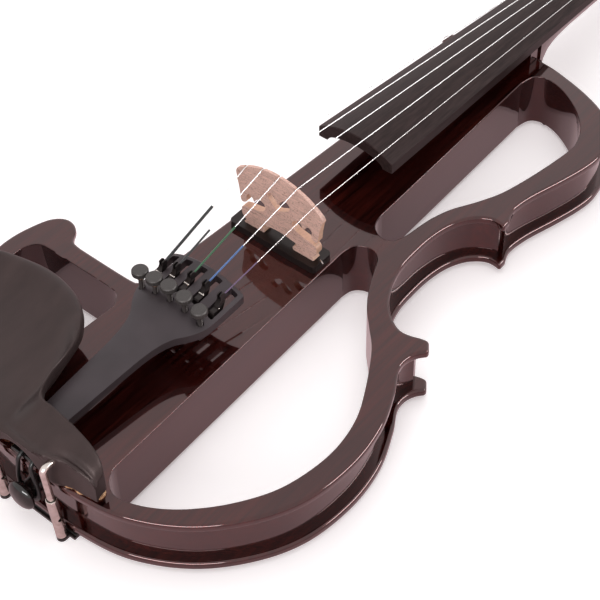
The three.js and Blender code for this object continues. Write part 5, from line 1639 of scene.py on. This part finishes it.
# Chinrest: [share across, near edge, far edge, rim]. Near and far are shares of the tail reach,
# the rim is a share of the chinrest's rise.
CHINREST = [
    (-1, -0.73, -0.8, 0.98), (-0.965, -0.665, -0.86, 1), (-0.88, -0.615, -0.915, 1),
    (-0.75, -0.589, -0.965, 1), (-0.59, -0.574, -0.995, 1), (-0.44, -0.582, -1.01, 1),
    (-0.325, -0.607, -1.018, 0.99), (-0.228, -0.652, -1.021, 0.98), (-0.15, -0.724, -1.022, 0.97),
    (-0.112, -0.83, -1.022, 0.965), (-0.06, -0.889, -1.022, 0.96), (0.02, -0.898, -1.022, 0.955),
    (0.139, -0.905, -1.022, 0.95), (0.22, -0.912, -1.022, 0.93), (0.29, -0.919, -1.018, 0.89),
    (0.34, -0.927, -1.008, 0.83), (0.375, -0.936, -0.998, 0.73), (0.394, -0.944, -0.985, 0.58),
]
# Lower edge of its outer skirt: [share across, share of the rise]
CHIN_SKIRT = [
    (-1, 0.6), (-0.6, 0.5), (-0.42, 0.3), (-0.34, 0.13), (-0.19, 0.13), (-0.11, 0.42), (-0.02, 0.56),
    (0.08, 0.42), (0.15, 0.055), (0.3, 0.045), (0.43, 0.045),
]
# Cork under the treble end of the chinrest, cut by hand and a little ragged
TREBLE_CORK_OUTLINE = [
    (13.6, -158, 0), (15, -160.4, 0), (17.5, -159.7, 0), (21, -160.1, 0), (24, -158.8, 0),
    (27, -159.3, 0), (29.4, -158.1, 0), (31.6, -158, 0), (33.8, -156.8, 0), (35.8, -156.1, 0),
    (36.3, -154.6, 0), (36.2, -153, 0), (35.2, -151.6, 0), (33, -150.4, 0), (28, -148.6, 0),
    (20, -147.4, 0), (15, -149.6, 0), (13.4, -153, 0),
]
CHIN_HALF = 93.5
CHIN_RISE = 25
# Thickness of its shell, as a share of the rise
CHIN_SHELL = 0.2
CORK_THICK = {"bass": 2.6, "treble": 1.1}


def tail_edge_at(x):
    """How far back the plates reach beside the tail, at a distance from the middle."""
    lower = [point for point in body_parts(2)[0] if point.y < -100]
    for a, b in zip(lower, lower[1:]):
        if min(a.x, b.x) <= x <= max(a.x, b.x) and a.x != b.x:
            return mix(a.y, b.y, (x - a.x) / (b.x - a.x))
    return lower[0].y


def chin_ring(x, near_share, far_share, rim):
    """One section of the chinrest across the instrument, from its near rim round to it again."""
    near, far = near_share * TAIL_REACH, far_share * TAIL_REACH
    if x > 0.08:
        edge = tail_edge_at(x * CHIN_HALF) + 0.9
        inward = min((x - 0.08) / 0.18, 1)
        far = max(far, mix(far, edge, inward * inward * (3 - 2 * inward)))
    depth = near - far
    dish = rim - 0.26 * min(1, depth / (TAIL_REACH / 4))
    ridge = rim * 0.8
    skirt = min(table_at(CHIN_SKIRT, x)[0], ridge - 0.2)
    solid = min(max((x - 0.33) / 0.1, 0), 1)
    step = min(1.1, depth * 0.06)
    under = mix(dish - CHIN_SHELL * 1.25, skirt, solid)
    ring = [
        (near - depth * 0.01, rim - CHIN_SHELL / 3), (near - depth * 0.03, rim - 0.01),
        (near - depth * 0.08, rim), (near - depth * 0.2, mix(rim, dish, 0.55)),
        (near - depth * 0.36, dish), (near - depth * 0.62, dish - CHIN_SHELL / 4),
        (far + depth * 0.2, ridge - 0.035), (far + depth * 0.12, ridge - 0.005),
        (far + depth * 0.03, ridge - 0.01), (far, ridge - 0.04), (far + step, ridge - 0.085),
        (far + step, mix(ridge, skirt, 0.5)), (far + step * 0.7, skirt + 0.02),
        (far + step + depth * 0.01, skirt), (far + depth * 0.14, skirt),
        (far + depth * 0.22, mix(ridge - CHIN_SHELL * 1.2, skirt, solid)),
        (near - depth * 0.6, under), (near - depth * 0.3, mix(dish - CHIN_SHELL, skirt, solid)),
        (near - depth * 0.02, mix(rim - CHIN_SHELL, skirt, solid)),
        (near, mix(rim - CHIN_SHELL * 0.8, skirt + 0.03, solid)),
    ]
    return [(x * CHIN_HALF, y, TOP + share * CHIN_RISE) for y, share in ring]


class VIOLIN_OT_chinrest(bpy.types.Operator):
    """Dished chinrest over the tail end, on its two cork-lined feet"""

    bl_idname = "violin.chinrest"
    bl_label = "Chinrest"

    def execute(self, context):
        shares = [-1, -0.996, -0.985] + [-0.965 + 0.018 * k for k in range(74)]
        shares += [0.36, 0.369, 0.377, 0.384, 0.39, 0.394]
        rings = []
        for share in shares:
            near, far, rim = table_at(CHINREST, share)
            ring = flowing(chin_ring(share, near, far, rim), 1, closed=True)
            rings.append(spaced([*ring, ring[0]], 96)[:-1])
        cup = skin("chinrest_dished", rings)
        for side, name in SIDES:
            x0, x1 = sorted((side * 16.4, side * 33.4))
            outline = rounded_outline(x0, x1, -TAIL_REACH + 4.4, -TAIL_REACH + 11, 1.6)
            foot = slab("foot", outline, TOP + CORK_THICK[name], TOP + 15)
            cup = carved(cup, foot, "UNION")
        cup = eased(cup, 0.5, 3, 45, 45)
        handed_over(cup, "chinrest", ["chinrest"])
        for side, name in SIDES:
            x0, x1 = sorted((side * 15, side * 34.8))
            outline = rounded_outline(x0, x1, -TAIL_REACH + 3, -TAIL_REACH + 12.4, 3)
            if side > 0:
                outline = flowing(TREBLE_CORK_OUTLINE, 0.7, closed=True)
            pad = slab("chinrest_cork_" + name + "_cut", outline, TOP, TOP + CORK_THICK[name])
            pad = eased(pad, 0.3, 2, 50)
            handed_over(pad, "cork", ["chinrest_cork_" + name])
        return {"FINISHED"}


LEG_BEND = TOP + 14.6


def leg_at(side, z):
    """Axis of a leg of the clamp at a height: it leans back and out towards its foot."""
    share = z / LEG_BEND
    x = side * (16.5 + 0.8 * (1 - share))
    return Vector((x, -TAIL_REACH - 4.9 + 2 * (1 - share), z))


class VIOLIN_OT_clamp(bpy.types.Operator):
    """Clamp of the chinrest: two bent rods, two barrels and the padded foot under the back"""

    bl_idname = "violin.clamp"
    bl_label = "Chinrest clamp"

    def execute(self, context):
        for side, name in SIDES:
            top = leg_at(side, LEG_BEND)
            path = [leg_at(side, 18.4), leg_at(side, LEG_BEND - 3.4)]
            centre = top + Vector((0, 2.4, -2.4))
            for step in range(1, 8):
                angle = math.radians(180 - 90 * step / 8)
                path.append(centre + Vector((0, 2.4 * math.cos(angle), 2.4 * math.sin(angle))))
            path += [top + Vector((0, 3, 0)), top + Vector((0, 9, 0))]
            rod = wire("clamp_rod_" + name + "_bent", path, 1.6, 5)
            handed_over(rod, "nickel", ["clamp_rod_" + name])
            low, high = -0.7, 25.4
            axis = (leg_at(side, high) - leg_at(side, low)).normalized()
            length = (leg_at(side, high) - leg_at(side, low)).length
            profile = [
                (1.9, 0), (2.2, 0.15), (2.4, 0.6), (2.4, length - 1.2), (2.3, length - 0.9),
                (2.3, length - 0.6), (2.4, length - 0.4), (2.3, length - 0.1), (2.1, length),
                (1.9, length), (1.9, length - 3), (1.9, 3),
            ]
            barrel = turned_tube("clamp_barrel_" + name + "_turned", profile, leg_at(side, low), axis)
            middle = leg_at(side, mix(low, high, 0.5))
            hole = turned("hole", [(1.1, 0), (1.1, 10)], middle - Vector((5, 0, 0)), (1, 0, 0), 24)
            barrel = carved(barrel, hole)
            barrel = eased(barrel, 0.12, 2, 40, 40)
            node = "clamp_barrel_" + name
            handed_over(barrel, "nickel", [node], node + "_body")
        dressed("clamp_foot", "_shaped", "polished", 0.4, 3)
        dressed("clamp_foot_cork", "_cut", "cord", 0.2)
        return {"FINISHED"}


# Controls, sockets, battery and cover


class VIOLIN_OT_controls(bpy.types.Operator):
    """Control panel with its dials, switch and sockets, let into the bass wall"""

    bl_idname = "violin.controls"
    bl_label = "Controls"

    def execute(self, context):
        dressed("control_panel", "_moulded", "plastic", 0.35, 3)
        for name, y in (("volume", 27), ("tone", 49)):
            dial = wall_dial(name + "_knob_fluted", y)
            handed_over(dial, "plastic", [name + "_knob"], name + "_knob_body")
        slider = "power_switch_slider"
        dressed(slider, "_ribbed", "nickel", 0.25, body=slider + "_body")
        for socket in ("output_jack", "headphone_jack"):
            dressed(socket, "_turned", "nickel", 0.18, 2, 30, 50)
        return {"FINISHED"}


def wall_dial(name, y):
    """A fluted dial on the bass wall, with a marking line across its face."""
    back, front, high = 2.65, -4.75, 15.5
    flutes = 22
    profile = [
        (0, front), (5.2, front), (5.9, front + 0.25), (6.3, front + 0.8), (6.55, front + 1.4),
        (6.55, back - 0.6), (6.4, back - 0.1), (6.2, back), (2.2, back), (2.2, back + 2.7),
        (0, back + 2.7),
    ]
    dial = turned(name, profile, (0, y, high), (1, 0, 0), flutes * 6)
    middle = Vector((0, y, high)) * MM
    for vertex in dial.data.vertices:
        offset = vertex.co - middle
        offset.x = 0
        if offset.length > 6.2 * MM and vertex.co.x > (front + 0.6) * MM:
            angle = math.atan2(offset.z, offset.y)
            shrink = 0.06 * (0.5 - 0.5 * math.cos(angle * flutes))
            vertex.co -= offset * shrink
    groove = boxed("groove", (front - 1, y - 0.35, high), (front + 0.5, y + 0.35, 21))
    dial = carved(dial, groove)
    return placed(shaded(dial, 30), wall_frame())


class VIOLIN_OT_battery_drawer(bpy.types.Operator):
    """Battery drawer in the bass wall"""

    bl_idname = "violin.battery_drawer"
    bl_label = "Battery drawer"

    def execute(self, context):
        tray = "battery_tray"
        dressed(tray, "_moulded", "plastic", 0.3, body=tray + "_body")
        return {"FINISHED"}


class VIOLIN_OT_cover(bpy.types.Operator):
    """Cover plate in the back and its two screws"""

    bl_idname = "violin.cover"
    bl_label = "Control cover"

    def execute(self, context):
        dressed("control_cover", "_moulded", "plastic", 0.3)
        for k in (1, 2):
            name = f"cover_screw_{k}"
            low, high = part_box(name)
            middle = (low + high) / 2 / MM
            screw = merged_copy(name, name + "_slotted")
            for angle in (0, 90):
                cross = boxed("cross", (-1.5, -0.3, -0.5), (1.5, 0.3, 0.7))
                turn = Matrix.Rotation(math.radians(angle + 20), 4, "Z")
                placed(cross, Matrix.Translation((middle.x * MM, middle.y * MM, 0)) @ turn)
                screw = carved(screw, cross)
            handed_over(eased(screw, 0.08, 2, 40, 40), "nickel", [name])
        return {"FINISHED"}


INNER_FINISHES = {
    "volume_pot": "nickel", "tone_pot": "nickel", "power_switch_body": "nickel",
    "preamp_board": "circuit", "pickup_lead": "cord", "battery": "can",
}


class VIOLIN_OT_inner_parts(bpy.types.Operator):
    """Finishes of the plain parts inside the body, whose frame shapes are kept"""

    bl_idname = "violin.inner_parts"
    bl_label = "Inner parts"

    def execute(self, context):
        for name, finish in INNER_FINISHES.items():
            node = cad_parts[name]
            node.data.materials.clear()
            node.data.materials.append(finish_named(finish))
        return {"FINISHED"}


# Stage. The camera's turn sideways, dip and roll are in degrees, its reach and the picture's
# width in pixels.

CAMERA_PLACE = (0.333741, -0.377146, 0.53975)
CAMERA_ANGLES = (-37.11, 43.65, 1.10)
CAMERA_SHIFT = (-0.108, -0.166)
CAMERA_REACH = 1516.1
PICTURE_WIDTH = 600


class VIOLIN_OT_stage(bpy.types.Operator):
    """Pale floor, soft lamps and the camera"""

    bl_idname = "violin.stage"
    bl_label = "Stage"

    def execute(self, context):
        scene = context.scene
        scene.view_settings.view_transform = "Standard"
        bpy.ops.object.select_all(action="DESELECT")
        bpy.ops.mesh.primitive_plane_add(size=14, location=(0, 0, FLOOR * MM))
        floor = named("pale_floor")
        finish = Finish("pale floor", (0.93, 0.93, 0.93), 0.6, specular_ior_level=0.2)
        path = finish.node("LightPath")
        # Painted reflection: rays that glance off the lacquer see the floor tinted pink, unlike the
        # pale floor that the camera sees.
        finish.colour_from(
            finish.blend(path.outputs["Is Glossy Ray"], (0.93, 0.93, 0.93), (0.98, 0.7, 0.73))
        )
        # Camera rays see the floor lifted by a pinkish glow. In the open it only brightens the floor
        # evenly; in the floor's shadows it paints a pink bounce-light tint.
        glow_and_painted_bounce = finish.node("Emission")
        glow_and_painted_bounce.inputs["Color"].default_value = (1, 0.88, 0.9, 1)
        glow_and_painted_bounce.inputs["Strength"].default_value = 0.35
        none = finish.node("Emission")
        none.inputs["Strength"].default_value = 0
        choice = finish.node("MixShader")
        add = finish.node("AddShader")
        links = finish.links
        links.new(path.outputs["Is Camera Ray"], choice.inputs["Fac"])
        # Painted reflection: a pink glow that only reflections see, mixed in at a share of 0.45.
        mirrored = finish.node("Emission")
        mirrored.inputs["Color"].default_value = (0.5, 0.38, 0.395, 1)
        mirrored.inputs["Strength"].default_value = 1
        whole = finish.node("MixShader")
        links.new(none.outputs["Emission"], choice.inputs[1])
        links.new(glow_and_painted_bounce.outputs["Emission"], choice.inputs[2])
        links.new(finish.shader.outputs["BSDF"], add.inputs[0])
        links.new(choice.outputs["Shader"], add.inputs[1])
        part = finish.node("Math", operation="MULTIPLY")
        part.inputs[1].default_value = 0.45
        links.new(path.outputs["Is Glossy Ray"], part.inputs[0])
        links.new(part.outputs["Value"], whole.inputs["Fac"])
        links.new(add.outputs["Shader"], whole.inputs[1])
        links.new(mirrored.outputs["Emission"], whole.inputs[2])
        links.new(whole.outputs["Shader"], finish.nodes["Material Output"].inputs["Surface"])
        floor.data.materials.append(finish.material)

        world = bpy.data.worlds.new("white room")
        world.use_nodes = True
        scene.world = world
        nodes, links = world.node_tree.nodes, world.node_tree.links
        soft = nodes["Background"]
        soft.inputs["Color"].default_value = (1, 0.99, 0.985, 1)
        soft.inputs["Strength"].default_value = 0.55
        white = nodes.new("ShaderNodeBackground")
        white.inputs["Color"].default_value = (1, 1, 1, 1)
        white.inputs["Strength"].default_value = 1
        path = nodes.new("ShaderNodeLightPath")
        seen = nodes.new("ShaderNodeMath")
        seen.operation = "MAXIMUM"
        links.new(path.outputs["Is Camera Ray"], seen.inputs[0])
        links.new(path.outputs["Is Glossy Ray"], seen.inputs[1])
        choice = nodes.new("ShaderNodeMixShader")
        links.new(seen.outputs["Value"], choice.inputs["Fac"])
        links.new(soft.outputs["Background"], choice.inputs[1])
        links.new(white.outputs["Background"], choice.inputs[2])
        links.new(choice.outputs["Shader"], nodes["World Output"].inputs["Surface"])

        power = scene.violin_sizes.key_power
        lamp("key softbox", (-0.75, 0.75, 1.25), (0, 0.05, 0), (1.3, 1.3), power, False)
        lamp("overhead softbox", (0.15, -0.15, 1.6), (0, 0.05, 0), (1.2, 1.2), power * 0.7, False)
        lamp("front strip", (0.5, -1.15, 0.6), (0, 0, 0.04), (1, 0.3), power * 1.3, True)
        lamp("side strip", (1.15, 0.7, 0.75), (0, 0, 0.03), (1, 0.3), power * 1.5, True)
        lamp("front softbox", (0.5, -1.15, 0.6), (0, 0, 0.04), (0.7, 0.5), power * 0.6, False)

        yaw, dip, roll = (math.radians(angle) for angle in CAMERA_ANGLES)
        forward = Vector((
            math.sin(yaw) * math.cos(dip), math.cos(yaw) * math.cos(dip), -math.sin(dip),
        ))
        right = Vector((math.cos(yaw), -math.sin(yaw), 0))
        up = right.cross(forward)
        level = right * math.cos(roll) + up * math.sin(roll)
        raised = up * math.cos(roll) - right * math.sin(roll)
        camera = bpy.data.cameras.new("camera")
        camera.sensor_width = 36
        camera.lens = CAMERA_REACH * camera.sensor_width / PICTURE_WIDTH
        camera.shift_x, camera.shift_y = CAMERA_SHIFT
        camera.clip_start, camera.clip_end = 0.05, 30
        eye = bpy.data.objects.new("camera", camera)
        scene.collection.objects.link(eye)
        turn = Matrix((level, raised, -forward)).transposed().to_4x4()
        eye.matrix_world = Matrix.Translation(CAMERA_PLACE) @ turn
        scene.camera = eye
        return {"FINISHED"}


def lamp(name, place, target, size, power, mirrored):
    light = bpy.data.lights.new(name, "AREA")
    light.shape = "RECTANGLE"
    light.size, light.size_y = size
    light.energy = power
    lit = bpy.data.objects.new(name, light)
    bpy.context.scene.collection.objects.link(lit)
    lit.visible_glossy = mirrored
    lit.visible_diffuse = not mirrored
    facing = (Vector(target) - Vector(place)).to_track_quat("-Z", "Y").to_matrix().to_4x4()
    lit.matrix_world = Matrix.Translation(place) @ facing
    return lit


class VIOLIN_PT_panel(bpy.types.Panel):
    """Violin maker's panel"""

    bl_label = "Electric Violin"
    bl_idname = "VIOLIN_PT_panel"
    bl_space_type = "VIEW_3D"
    bl_region_type = "UI"
    bl_category = "Violin"

    def draw(self, context):
        scene = context.scene
        for group in (scene.violin_colours, scene.violin_sizes):
            box = self.layout.box()
            for key in group.bl_rna.properties.keys():
                if key not in ("rna_type", "name"):
                    box.prop(group, key)
        for operator in OPERATORS:
            self.layout.operator(operator.bl_idname)


OPERATORS = (
    VIOLIN_OT_stage, VIOLIN_OT_plates, VIOLIN_OT_ribs, VIOLIN_OT_neck, VIOLIN_OT_fingerboard,
    VIOLIN_OT_pegs, VIOLIN_OT_bridge, VIOLIN_OT_tailpiece, VIOLIN_OT_tuner_levers,
    VIOLIN_OT_tuner_screws, VIOLIN_OT_strings, VIOLIN_OT_tail_end, VIOLIN_OT_chinrest,
    VIOLIN_OT_clamp, VIOLIN_OT_controls, VIOLIN_OT_battery_drawer, VIOLIN_OT_cover,
    VIOLIN_OT_inner_parts,
)
CLASSES = (ViolinColours, ViolinSizes, *OPERATORS, VIOLIN_PT_panel)


def register():
    for kind in CLASSES:
        bpy.utils.register_class(kind)
    bpy.types.Scene.violin_colours = PointerProperty(type=ViolinColours)
    bpy.types.Scene.violin_sizes = PointerProperty(type=ViolinSizes)


def unregister():
    del bpy.types.Scene.violin_colours
    del bpy.types.Scene.violin_sizes
    for kind in reversed(CLASSES):
        bpy.utils.unregister_class(kind)


def main():
    register()
    for operator in OPERATORS:
        group, name = operator.bl_idname.split(".")
        getattr(getattr(bpy.ops, group), name)()


if __name__ == "__main__":
    main()
